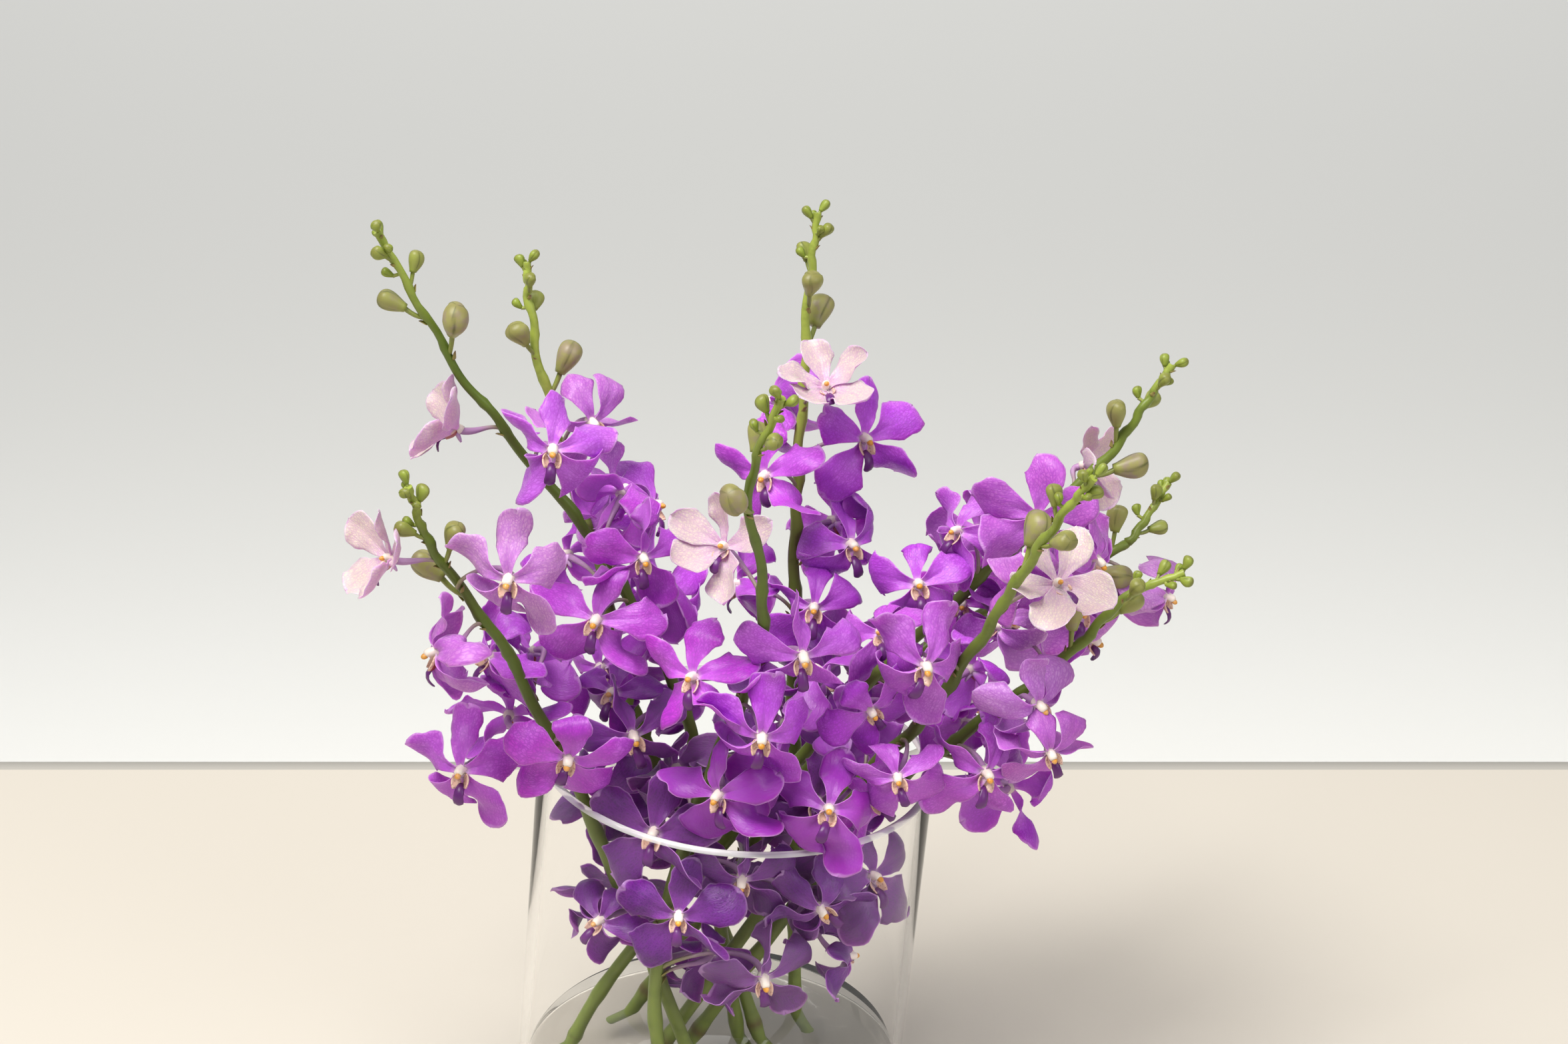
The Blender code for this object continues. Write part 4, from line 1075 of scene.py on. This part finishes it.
def loft(centres, sizes, sides, part, ridges):
    # a closed tube through centres, with a half width and a half height at each, sealed at both ends
    centres = [Vector(c) for c in centres]
    points = []
    for k, centre in enumerate(centres):
        ahead = (centres[min(k + 1, len(centres) - 1)] - centres[max(k - 1, 0)]).normalized()
        over = (up - ahead * ahead.dot(up)) if abs(ahead.z) < 0.95 else Vector((0, 1, 0)) - ahead * ahead.y
        over.normalize()
        beside = over.cross(ahead)
        for j in range(sides):
            a = tau * j / sides
            grow = 1 + ridges * cos(3 * a + pi / 2)
            points.append(centre + (beside * cos(a) * sizes[k][0] + over * sin(a) * sizes[k][1]) * grow)
    faces = [(a, d, c, b) for a, b, c, d in ringFaces(len(centres) - 1, sides)]
    last = (len(centres) - 1) * sides
    faces.append(tuple(range(sides)))
    faces.append(tuple(range(last + sides - 1, last - 1, -1)))
    count = len(points)
    share = np.repeat(np.linspace(0, 1, len(centres)), sides)
    values = {"part": np.full(count, part / 5), "along": share, "free": np.zeros(count)}
    return np.array([tuple(p) for p in points]), faces, values, np.zeros((count, 2))


def trough(chance):
    # the cup of the lip below the column: an open U-shaped sheet whose sides flare into two short wings
    u = np.linspace(0, 1, 9)[:, None]
    v = np.linspace(-1, 1, 15)[None, :]
    turn = np.radians(82) * v
    wide = 3.5 * np.sqrt(np.sin(pi * (0.20 + 0.62 * u)))
    tall = (2.0 + 1.9 * np.sin(pi * (0.05 + 0.75 * u))) * (1 + chance.uniform(-0.12, 0.12) * v)
    rise = tall * (1 - np.cos(turn))
    x = wide * np.sin(turn) * (1 + 0.22 * v**4) + 0.15 * np.sin(5 * v + 3 * u)
    y = -1.2 - 6.2 * u + 0.25 * rise
    z = 0.6 + 3.0 * u - 1.2 * np.sin(pi * u) + rise
    grid = np.stack([x, y, z], axis=2)
    points, faces = shellOf(grid[:, ::-1], np.full(grid.shape[:2], lipSizes["cupThick"]))
    count = len(points)
    inner = np.where(np.abs(v) + 0 * u > lipSizes["wing"], 1 / 5, 2 / 5)[:, ::-1].ravel()
    part = np.concatenate([inner, np.full(inner.size, 1 / 5)])
    values = {"part": part, "along": bothSides(u + 0 * v), "free": np.zeros(count)}
    return points, faces, values, np.zeros((count, 2))


def lip(chance):
    # the lip with its lobe, cup and spur, and the column with its cap
    drop, sway = chance.uniform(-1.4, 1.0), chance.uniform(-1.0, 1.0)
    parts = []
    for key in ("lobe", "column", "cap", "spur"):
        sides, part, rows = lipSizes[key]
        moves = zip(lipSizes["sway"], lipSizes["drop"]) if key == "lobe" else [(0, 0)] * len(rows)
        centres = [(aside * sway, row[0], row[1] + fall * drop) for row, (aside, fall) in zip(rows, moves)]
        sizes = [row[2:] for row in rows]
        parts.append(loft(centres, sizes, sides, part, lipSizes["ridges"] if key == "lobe" else 0.0))
    parts.insert(1, trough(chance))
    return gathered(parts)


budForm = {
    "lean": (0.05, 0.12),      # random draws: bend to one side, twist of the sepals, where it is thickest
    "twist": (0.05, 0.25),
    "widest": (0.58, 0.68),
    "neck": 0.13,              # radii, as shares of the length
    "belly": 0.38,
    "flat": 0.86,              # its depth beside its width
    "sides": 24,
    "rounds": 14,
    "scaleWidth": 3.6,         # the dry scale: half width, and half thickness
    "scaleThick": 0.35,
}


def bud(chance):
    # a closed bud 10 mm long along +Z: narrow at its stalk and blunt at its end, three sepals edge over edge
    sides, rounds, neck, belly = (budForm[key] for key in ("sides", "rounds", "neck", "belly"))
    points, along, seam = [], [], []
    lean, twist, widest = (chance.uniform(*budForm[key]) for key in ("lean", "twist", "widest"))
    for k in range(rounds + 1):
        t = 1 - (1 - k / rounds)**1.6
        if t < widest:
            radius = neck + (belly - neck) * float(smooth(t, -0.22, widest))
        else:
            radius = belly * (1 - ((t - widest) / (1.001 - widest))**2.6)**0.5
        for j in range(sides):
            a = tau * j / sides
            sector = (3 * j / sides + twist * t) % 1.0
            step = 0.13 * (sector - 0.5) + 0.06 * sin(pi * sector)
            grow = radius * (1 + step * min(1, 4 * t))
            points.append((cos(a) * grow + lean * sin(pi * t), sin(a) * grow * budForm["flat"], t))
            along.append(t)
            seam.append(max(0.0, 1 - sector / 0.16, 1 - (1 - sector) / 0.10) * min(1, 3 * t))
    faces = ringFaces(rounds, sides)
    last = rounds * sides
    faces.append(tuple(range(sides - 1, -1, -1)))
    faces.append(tuple(range(last, last + sides)))
    count = len(points)
    values = {"along": along, "seam": seam, "bract": np.zeros(count)}
    return np.array(points) * 10, faces, values, np.zeros((count, 2))


def bract():
    # the dry scale that clasps the stem under each flower and bud, 10 mm long here, along +Z
    t = np.linspace(0, 1, 7)[:, None]
    s = np.linspace(-1, 1, 9)[None, :]
    width = budForm["scaleWidth"] * np.sqrt(np.clip(1 - t**1.7, 0.002, 1))
    grid = np.stack([width * s, 1.6 * t - 0.55 * width * s**2, 10 * t + 0 * s], axis=2)
    points, faces = shellOf(grid, np.full(grid.shape[:2], budForm["scaleThick"]))
    count = len(points)
    values = {"along": bothSides(t + 0 * s), "seam": np.zeros(count), "bract": np.ones(count)}
    return points, faces, values, np.zeros((count, 2))


def shapeCollection(name, objects):
    kept = bpy.data.collections.new(name)
    for made in objects:
        kept.objects.link(made)
    return kept


petalShapes, lipShapes, budShapes, kinds = [], [], [], {}
for form in ("flat", "arched", "pale"):
    kinds[form] = []
    for variant in range(bloomSizes["variants"]):
        chance = Random(f"{form} {variant}")
        kinds[form].append(len(petalShapes))
        limp = 0.0 if form == "pale" else chance.choice((-0.2, 0.0, 0.3, 0.7))
        blades = [petal(angle, length, half, form, limp, chance)
                  for _, angle, length, half in bloomSizes["blades"]]
        petalShapes.append(newMesh(f"petalShape{len(petalShapes):02d}", *gathered(blades)))
        lipShapes.append(newMesh(f"lipShape{len(lipShapes):02d}", *lip(chance)))
for variant in range(4):
    budShapes.append(newMesh(f"budShape{variant:02d}", *bud(Random(f"bud {variant}"))))
budShapes.append(newMesh("budShapeBract", *bract()))
petalCollection = shapeCollection("petalShapes", petalShapes)
lipCollection = shapeCollection("lipShapes", lipShapes)
budCollection = shapeCollection("budShapes", budShapes)
print("stage: modelled", len(petalShapes), "flowers and", len(budShapes), "buds")


def newTree(name, sockets):
    # a geometry tree with named inputs: returns the tree, its input node and each input's identifier
    tree = bpy.data.node_groups.new(name, "GeometryNodeTree")
    tree.interface.new_socket("Geometry", in_out="INPUT", socket_type="NodeSocketGeometry")
    tree.interface.new_socket("Geometry", in_out="OUTPUT", socket_type="NodeSocketGeometry")
    keys = {}
    for label, kind, value in sockets:
        socket = tree.interface.new_socket(label, in_out="INPUT", socket_type=kind)
        if value is not None:
            socket.default_value = value
        keys[label] = socket.identifier
    return tree, tree.nodes.new("NodeGroupInput").outputs, keys


def closeTree(tree, given, geometry):
    # every tree ends with smooth shading, real faces and its material
    even = addNode(tree, "GeometryNodeSetShadeSmooth", {"Geometry": geometry}).outputs[0]
    real = addNode(tree, "GeometryNodeRealizeInstances", {"Geometry": even}).outputs[0]
    done = addNode(tree, "GeometryNodeSetMaterial", {"Geometry": real, "Material": given["Finish"]}).outputs[0]
    addNode(tree, "NodeGroupOutput", {0: done})


def scatterTree():
    # puts one of the modelled shapes on each point, turned and sized as the point says, then makes each one
    # a little uneven in its own way
    tree, given, keys = newTree("scatterShapes", [
        ("Shapes", "NodeSocketCollection", None), ("Finish", "NodeSocketMaterial", None),
        ("Ruffle", "NodeSocketFloat", 0.0), ("Ruffle Scale", "NodeSocketFloat", 55.0),
        ("Seed", "NodeSocketFloat", 3.0)])
    shapes = addNode(tree, "GeometryNodeCollectionInfo", {"Separate Children": True, "Reset Children": True,
                                                          "Collection": given["Shapes"]}).outputs[0]
    read = {key: addNode(tree, "GeometryNodeInputNamedAttribute", {"data_type": kind, "Name": key}).outputs[0]
            for key, kind in (("turn", "FLOAT_VECTOR"), ("size", "FLOAT"), ("kind", "INT"), ("free", "FLOAT"))}
    placed = addNode(tree, "GeometryNodeInstanceOnPoints", {
        "Pick Instance": True, "Points": given["Geometry"], "Instance": shapes, "Instance Index": read["kind"],
        "Rotation": read["turn"], "Scale": read["size"]}).outputs[0]
    real = addNode(tree, "GeometryNodeRealizeInstances", {"Geometry": placed}).outputs[0]
    place = addNode(tree, "GeometryNodeInputPosition").outputs[0]
    noise = addNode(tree, "ShaderNodeTexNoise", {
        "noise_dimensions": "4D", "Detail": 1.0, "Vector": place, "W": given["Seed"],
        "Scale": given["Ruffle Scale"]}).outputs["Color"]
    centred = addNode(tree, "ShaderNodeVectorMath", {"operation": "SUBTRACT", 0: noise,
                                                     1: (0.5, 0.5, 0.5)}).outputs[0]
    amount = addNode(tree, "ShaderNodeMath", {"operation": "MULTIPLY", 0: read["free"],
                                              1: given["Ruffle"]}).outputs[0]
    offset = addNode(tree, "ShaderNodeVectorMath", {"operation": "SCALE", 0: centred, "Scale": amount})
    uneven = addNode(tree, "GeometryNodeSetPosition", {"Geometry": real,
                                                       "Offset": offset.outputs[0]}).outputs[0]
    closeTree(tree, given, uneven)
    return tree, keys


def sweepTree():
    # sweeps a round section with shallow grooves along every line of points, as thick as each point says
    tree, given, keys = newTree("sweepStalks", [
        ("Finish", "NodeSocketMaterial", None), ("Sides", "NodeSocketInt", 8),
        ("Groove", "NodeSocketFloat", 0.0)])
    lines = addNode(tree, "GeometryNodeMeshToCurve", {"Mesh": given["Geometry"]}).outputs[0]
    section = addNode(tree, "GeometryNodeCurvePrimitiveCircle", {"Radius": 1.0,
                                                                 "Resolution": given["Sides"]}).outputs[0]
    index = addNode(tree, "GeometryNodeInputIndex").outputs[0]
    other = addNode(tree, "ShaderNodeMath", {"operation": "MODULO", 0: index, 1: 2.0}).outputs[0]
    inward = addNode(tree, "ShaderNodeMath", {"operation": "MULTIPLY", 0: other, 1: given["Groove"]}).outputs[0]
    place = addNode(tree, "GeometryNodeInputPosition").outputs[0]
    offset = addNode(tree, "ShaderNodeVectorMath", {"operation": "SCALE", 0: place, "Scale": inward}).outputs[0]
    grooved = addNode(tree, "GeometryNodeSetPosition", {"Geometry": section, "Offset": offset}).outputs[0]
    thick = addNode(tree, "GeometryNodeInputNamedAttribute", {"data_type": "FLOAT", "Name": "thick"}).outputs[0]
    swept = addNode(tree, "GeometryNodeCurveToMesh", {
        "Fill Caps": True, "Curve": lines, "Profile Curve": grooved, "Scale": thick}).outputs[0]
    closeTree(tree, given, swept)
    return tree, keys


scatter, scatterKeys = scatterTree()
sweep, sweepKeys = sweepTree()


def grownPiece(name, tree, keys, points, edges, values, inputs):
    # runs a tree on a mesh of points and edges and keeps the result as a plain mesh
    mesh = bpy.data.meshes.new(name + "Points")
    mesh.from_pydata(points, edges, [])
    for key, (kind, items) in values.items():
        attribute = mesh.attributes.new(key, kind, "POINT")
        slotName = "vector" if kind == "FLOAT_VECTOR" else "value"
        attribute.data.foreach_set(slotName, np.asarray(items).ravel())
    guide = bpy.data.objects.new(name + "Guide", mesh)
    bpy.context.scene.collection.objects.link(guide)
    modifier = guide.modifiers.new("grow", "NODES")
    modifier.node_group = tree
    for label, value in inputs.items():
        modifier[keys[label]] = value
    bpy.context.view_layer.update()
    grown = bpy.data.meshes.new_from_object(guide.evaluated_get(bpy.context.evaluated_depsgraph_get()))
    guide.modifiers.clear()
    bpy.data.objects.remove(guide)
    bpy.data.meshes.remove(mesh)
    grown.name = name
    return inScene(name, grown)


def inScene(name, data):
    piece = bpy.data.objects.new(name, data)
    bpy.context.scene.collection.objects.link(piece)
    return piece


def placePiece(piece, node):
    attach(piece, "root")
    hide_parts(node)


def scattered(name, places, shapes, finish, ruffle):
    # places: (matrix, size, kind, {value: number}) for each shape
    matrices, sizes, chosen, more = zip(*places)
    points = [tuple(matrix.translation * mm) for matrix in matrices]
    values = {
        "turn": ("FLOAT_VECTOR", np.array([tuple(matrix.to_euler("XYZ")) for matrix in matrices], np.float32)),
        "size": ("FLOAT", np.array(sizes, np.float32)),
        "kind": ("INT", np.array(chosen, np.int32)),
    }
    for key in more[0]:
        values[key] = ("FLOAT", np.array([their[key] for their in more], np.float32))
    inputs = {"Shapes": shapes, "Finish": finish, "Ruffle": ruffle * 4 * mm}
    return grownPiece(name, scatter, scatterKeys, points, [], values, inputs)


def swept(name, lines, sides, groove):
    # lines: for each stalk its points and radii in millimetres, and the four values that its finish reads
    keys = ("thick", "tint", "scar", "along", "fresh")
    points, edges, columns = [], [], {key: [] for key in keys}
    for path, *theirs in lines:
        base = len(points)
        points += [tuple(p * mm) for p in path]
        edges += [(base + k, base + k + 1) for k in range(len(path) - 1)]
        for key, numbers in zip(keys, theirs):
            columns[key] += [number * mm for number in numbers] if key == "thick" else numbers
    values = {key: ("FLOAT", np.array(column, np.float32)) for key, column in columns.items()}
    inputs = {"Finish": stalkFinish, "Sides": sides, "Groove": groove}
    return grownPiece(name, sweep, sweepKeys, points, edges, values, inputs)


def zigzag(length, roots):
    # the small sideways step that a flowering stem takes at each flower, to one side and then the other
    marks = sorted(roots)
    if length <= marks[0] or length >= marks[-1]:
        return Vector((0, 0, 0))
    k = max(i for i, mark in enumerate(marks) if mark <= length)
    share = (length - marks[k]) / max(1.0, marks[k + 1] - marks[k])
    step = stemSizes["zigzag"] * min(stemSizes["longestStep"], marks[k + 1] - marks[k]) * sin(pi * share)
    return Vector((1 - 2 * (k % 2), 0.6 * (1 - 2 * (k % 3 > 0)), 0)) * step


def stemLine(stem, spray, roots, budRoots):
    # a stem's smooth curve, swollen a little and scarred where a leaf or a flower stands
    places = [Vector(p) for p in spray["stem"]]
    places[0] = stem.line[0]
    count = round(stem.length / stemSizes["pointGap"])
    path, radii, scars, alongs, fresh = [], [], [], [], []
    lowest = min(roots)
    leafScars = np.arange(stem.length * 0.02 + 12, lowest - 8, stemSizes["jointGap"])
    joints = [*leafScars, *roots, *budRoots]
    for k in range(count + 1):
        length = stem.length * k / count
        near = max(np.exp(-((length - x) / stemSizes["jointReach"])**2) for x in joints)
        ring = 0.0
        if lowest > 24:
            ring = max(np.exp(-((length - x) / stemSizes["scarReach"])**2) for x in joints if x < lowest - 4)
        path.append(curvePoint(places, k / count) + zigzag(length, roots + budRoots))
        radii.append(stemSizes["fuller"] * stem.radius(length) * (1 + stemSizes["jointSwell"] * near))
        scars.append(float(max(ring, 0.35 * near)))
        alongs.append(length / stem.length)
        fresh.append(float(spray["fresh"] * smooth(length / stem.length, 0.35, 0.8)
                           + (1 - spray["fresh"]) * 0.8 * smooth(stem.length - length, 70, 5)))
    return path, radii, [0.0] * len(path), scars, alongs, fresh


stalkSizes = {
    "radius": 0.95,          # of a flower's stalk; the ovary, towards the flower, and the foot add to it
    "ovary": 0.75,
    "foot": 0.5,
    "steps": 12,
    "sides": 12,
    "groove": 0.16,
    "budRadius": 0.55,       # of a bud's stalk, and what each millimetre of its bud adds
    "budMore": 0.05,
    "sag": 0.10,             # bend of a bud's stalk under its weight
    "budSteps": 6,
    "knobRadii": [0.8, 0.9],
}


def flowerLine(stalk):
    # a flower's stalk: thin at the stem, thicker towards the flower, where the ovary is
    count = stalkSizes["steps"]
    path = stalkPath(stalk, count)
    shares = [k / count for k in range(count + 1)]
    radii = [float(stalkSizes["radius"] + stalkSizes["ovary"] * smooth(t, 0.3, 0.9)
                   + stalkSizes["foot"] * (1 - min(1, t * 9))) for t in shares]
    return path, radii, [0.1 + 0.9 * t for t in shares], [0.0] * len(path), shares, shares


def greenStalk(path, radii, along, fresh):
    # the values of a short stalk that is green all over
    return path, radii, [0.03] * len(path), [0.0] * len(path), [along] * len(path), [fresh] * len(path)


def budLine(matrix, length, root):
    # a bud's stalk, bent a little under the bud's weight
    start, end = matrix @ Vector((0, 0, -root)), matrix @ Vector((0, 0, 0.12 * length))
    sag = Vector((0, 0, -stalkSizes["sag"])) * (end - start).length
    count = stalkSizes["budSteps"]
    path = [start.lerp(end, k / count) + sag * sin(pi * k / count) for k in range(count + 1)]
    radii = [stalkSizes["budRadius"] + stalkSizes["budMore"] * length * (0.6 + 0.4 * k / count)
             for k in range(count + 1)]
    return greenStalk(path, radii, 0.8, 0.55)


ageLook = {
    "paleTone": 0.92,        # how pale a young flower is, and any other one
    "tone": 0.05,
    "toneTop": 0.42,         # and what it gains towards the tip of its spray
    "tilt": (9, 9, 13),      # how far flowers are turned out of their place, in degrees
    "old": (0.62, 0.36),     # shares of the stem's length between which the painted shade on the low flowers comes in, also taken as their age
}

for name, spray in sprays.items():
    stem = stems[name]
    chance = Random("tones of " + name)
    places, stalkLines, roots, budRoots, scales = [], [], [], [], []
    for matrix, stalk, form in flowers[name]:
        root = stem.nearest(stalk[0])
        roots.append(root)
        share = root / stem.length
        if form == "pale":
            tone = ageLook["paleTone"]
        else:
            tone = ageLook["tone"] + ageLook["toneTop"] * max(0.0, (share - 0.60) / 0.35)
            tone += chance.uniform(-0.05, 0.14)
        tone = min(1.0, max(0.0, tone + chance.uniform(-0.06, 0.06)))
        kind = chance.choice(kinds[form])
        tilt = Euler([radians(chance.gauss(0, spread)) for spread in ageLook["tilt"]])
        matrix = matrix @ tilt.to_matrix().to_4x4()
        # the last value is painted shade on the low flowers inside the vase, also taken as their age
        values = {"tone": tone, "warm": chance.random(), "old": float(smooth(share, *ageLook["old"]))}
        places.append((matrix, matrix.to_scale()[0], kind, values))
        stalkLines.append(flowerLine(stalk))
        scales.append((root, matrix.translation - stem.at(root), 0.42))
    budPlaces, budLines = [], []
    for (matrix, length, root), row in zip(buds[name], budSizes["buds"]):
        back = row[0]
        turned = matrix @ Matrix.Rotation(chance.uniform(0, tau), 4, "Z")
        budPlaces.append((turned, length / 10, chance.randrange(4), {"ripe": min(1.0, (length - 5.5) / 10)}))
        budLines.append(budLine(matrix, length, root))
        budRoots.append(stem.length - back)
        scales.append((budRoots[-1], matrix.col[2].xyz, 0.18 + 0.015 * length))
    for back, length, out, turn in budSizes["knobs"]:
        at = stem.length - back
        around = stem.outward(at, turn)
        facing = (around * 0.8 + stem.direction(at)).normalized()
        root = stem.at(at)
        knob = Matrix.Translation(root + around * out) @ facing.to_track_quat("Z", "Y").to_matrix().to_4x4()
        budPlaces.append((knob, length / 10, chance.randrange(4), {"ripe": 0.0}))
        budLines.append(greenStalk([root, root + around * (out + 0.2)], stalkSizes["knobRadii"], 0.9, 0.9))
    for length, facing, size in scales:
        ahead = stem.direction(length)
        away = (facing - ahead * facing.dot(ahead)).normalized()
        axis = (ahead * 0.95 + away * 0.42).normalized()
        out = (away - axis * away.dot(axis)).normalized()
        scale = Matrix((out.cross(axis), out, axis)).transposed().to_4x4()
        root = stem.at(length - 2.6) + away * 1.02 * stemSizes["fuller"] * stem.radius(length)
        budPlaces.append((Matrix.Translation(root) @ scale, size, 4, {"ripe": 0.0}))
    petals = scattered(name + "_petals", places, petalCollection, petalFinish, bloomSizes["ruffle"])
    placePiece(petals, name)
    placePiece(scattered(name + "_lips", places, lipCollection, lipFinish, 0.0), name)
    placePiece(scattered(name + "_buds", budPlaces, budCollection, budFinish, 0.0), name)
    line = stemLine(stem, spray, roots, budRoots)
    placePiece(swept(name + "_stem", [line], stemSizes["sides"], 0.0), name)
    stalks = swept(name + "_stalks", stalkLines + budLines, stalkSizes["sides"], -stalkSizes["groove"])
    placePiece(stalks, name)
    print("stage:", name, "with", len(places), "flowers and", len(budPlaces), "buds and scales")


def turnedPiece(name, section, level, foot, bevel=0.0):
    # a solid turned from half of its section, leaned over as the vase is, and cut level at its foot or its top
    mesh = bpy.data.meshes.new(name)
    points, faces = [], []
    sides, count = vaseSizes["sides"], len(section)
    for j in range(sides):
        a = tau * j / sides
        points += [(r * cos(a) * mm, r * sin(a) * mm, z * mm) for r, z in section]
    for j in range(sides):
        n = (j + 1) % sides
        for k in range(count - 1):
            faces.append((j * count + k, n * count + k, n * count + k + 1, j * count + k + 1))
    mesh.from_pydata(points, [], faces)
    shape = bmesh.new()
    shape.from_mesh(mesh)
    bmesh.ops.remove_doubles(shape, verts=shape.verts, dist=0.000005)
    bmesh.ops.transform(shape, matrix=Matrix.Rotation(vaseSizes["lean"], 4, "Y"), verts=shape.verts)
    everything = [*shape.verts, *shape.edges, *shape.faces]
    cut = bmesh.ops.bisect_plane(shape, geom=everything, plane_co=(0, 0, level * mm),
                                 plane_no=(0, 0, -1) if foot else (0, 0, 1), clear_outer=True)
    edges = [item for item in cut["geom_cut"] if isinstance(item, bmesh.types.BMEdge)]
    bmesh.ops.contextual_create(shape, geom=edges)
    if bevel:
        bmesh.ops.bevel(shape, geom=edges, offset=bevel * mm, segments=3, affect="EDGES", profile=0.5)
    bmesh.ops.recalc_face_normals(shape, faces=shape.faces)
    shape.to_mesh(mesh)
    shape.free()
    mesh.shade_smooth()
    piece = inScene(name, mesh)
    piece.visible_shadow = False
    return piece


outside, inside = vaseProfile(8, 8)
vasePiece = turnedPiece("vase_glass", [*inside, *outside], 0, True, vaseSizes["footBevel"])
for glass in glassFinishes:
    vasePiece.data.materials.append(glass)
upright = Matrix.Rotation(-vaseSizes["lean"], 4, "Y")
for face in vasePiece.data.polygons:
    centre = upright @ face.center
    # the top of the wall takes the rim's finish, partly white for painted light
    if centre.z > (vaseSizes["height"] - vaseSizes["rimDepth"]) * mm:
        face.material_index = 1
    elif centre.z < (vaseSizes["floor"] + vaseSizes["innerCorner"]) * mm:
        face.material_index = 3
    elif centre.xy.length < (vaseSizes["radius"] - vaseSizes["wall"] / 2) * mm and centre.z > 0:
        face.material_index = 2
placePiece(vasePiece, "vase")

# The water stands against the glass with no air between them, so that light passes as it does in a real vase.
into, above = waterSizes["intoGlass"], waterSizes["level"] + waterSizes["spare"]
body = [(r + into if r > 1 else r, z - into) for r, z in inside if z < vaseSizes["height"] / 2]
body += [(body[-1][0], above), (0, above)]
waterPiece = turnedPiece("vase_water", body, waterSizes["level"], False)
waterPiece.data.materials.append(waterFinish)
placePiece(waterPiece, "water")
print("stage: vase and water")

for kept in (petalCollection, lipCollection, budCollection):
    for made in list(kept.objects):
        bpy.data.objects.remove(made)
    bpy.data.collections.remove(kept)

stageLook = {
    # each sheet: its section as (y, z) in metres, half its width and its colour
    "table": ([(-2.5, 0), (0.352, 0)], 2.5, "#d2cbc0"),
    # painted shade: a darker grey strip bent down at the table's back edge, for the shadow line where the table
    # meets the backdrop
    "tableEdge": ([(0.352, 0), (0.362, 0), (0.365, -0.02)], 2.5, "#b6b2ab"),
    "floorBelow": ([(-9, -0.75), (9, -0.75)], 9, "#e4e4e2"),
}
for name, (section, half, colour) in stageLook.items():
    mesh = bpy.data.meshes.new(name)
    corners = [(x, y, z) for y, z in section for x in (-half, half)]
    mesh.from_pydata(corners, [], [(2 * k, 2 * k + 1, 2 * k + 3, 2 * k + 2) for k in range(len(section) - 1)])
    mesh.shade_smooth()
    sheetFinish = newMaterial(name + "Finish", {"Base Color": linear(colour), "Roughness": 0.7})[0]
    mesh.materials.append(sheetFinish)
    piece = inScene(name, mesh)

lightLook = {
    # each lamp: its place and what it points at, its width and height, all in metres, its power and its colour
    "keyLight": ((-0.55, -0.55, 2.3), (0.03, 0, 0.25), (1.3, 1.3), 69, "#fffdf8"),
    "backdropLight": ((0, 6.5, 3.1), (0, 6.5, 0), (7.0, 5.0), 148, "#fdfdfb"),
    "backdropLightNear": ((0, 1.2, 0.3), (0, 1.7, -0.75), (5.0, 0.3), 18, "#fffdf8"),
    "fillLight": ((1.6, -1.2, 1.5), (0.03, 0, 0.25), (1.2, 1.6), 13, "#fbfcff"),
}
for name, (place, target, size, power, colour) in lightLook.items():
    light = bpy.data.lights.new(name, "AREA")
    light.shape = "RECTANGLE"
    light.size, light.size_y = size
    light.energy = power
    light.color = linear(colour)[:3]
    lamp = inScene(name, light)
    lamp.location = place
    lamp.rotation_euler = (Vector(target) - Vector(place)).to_track_quat("-Z", "Y").to_euler()

skyLook = {"Color": linear("#f4f4f2"), "Strength": 0.36}
world = bpy.data.worlds.new("softDaylight")
bpy.context.scene.world = world
world.use_nodes = True
for key, value in skyLook.items():
    world.node_tree.nodes["Background"].inputs[key].default_value = value

cameraLook = {"place": (0.040, -1.41, 0.955), "tilt": 65.8, "lens": 76.4, "sensor": 36}
camera = bpy.data.cameras.new("camera")
camera.lens = cameraLook["lens"]
camera.sensor_width = cameraLook["sensor"]
cameraObject = inScene("camera", camera)
cameraObject.location = cameraLook["place"]
cameraObject.rotation_euler = (radians(cameraLook["tilt"]), 0, 0)
bpy.context.scene.camera = cameraObject
bpy.context.scene.view_settings.view_transform = "Standard"

print("stage: all pieces, light and camera")
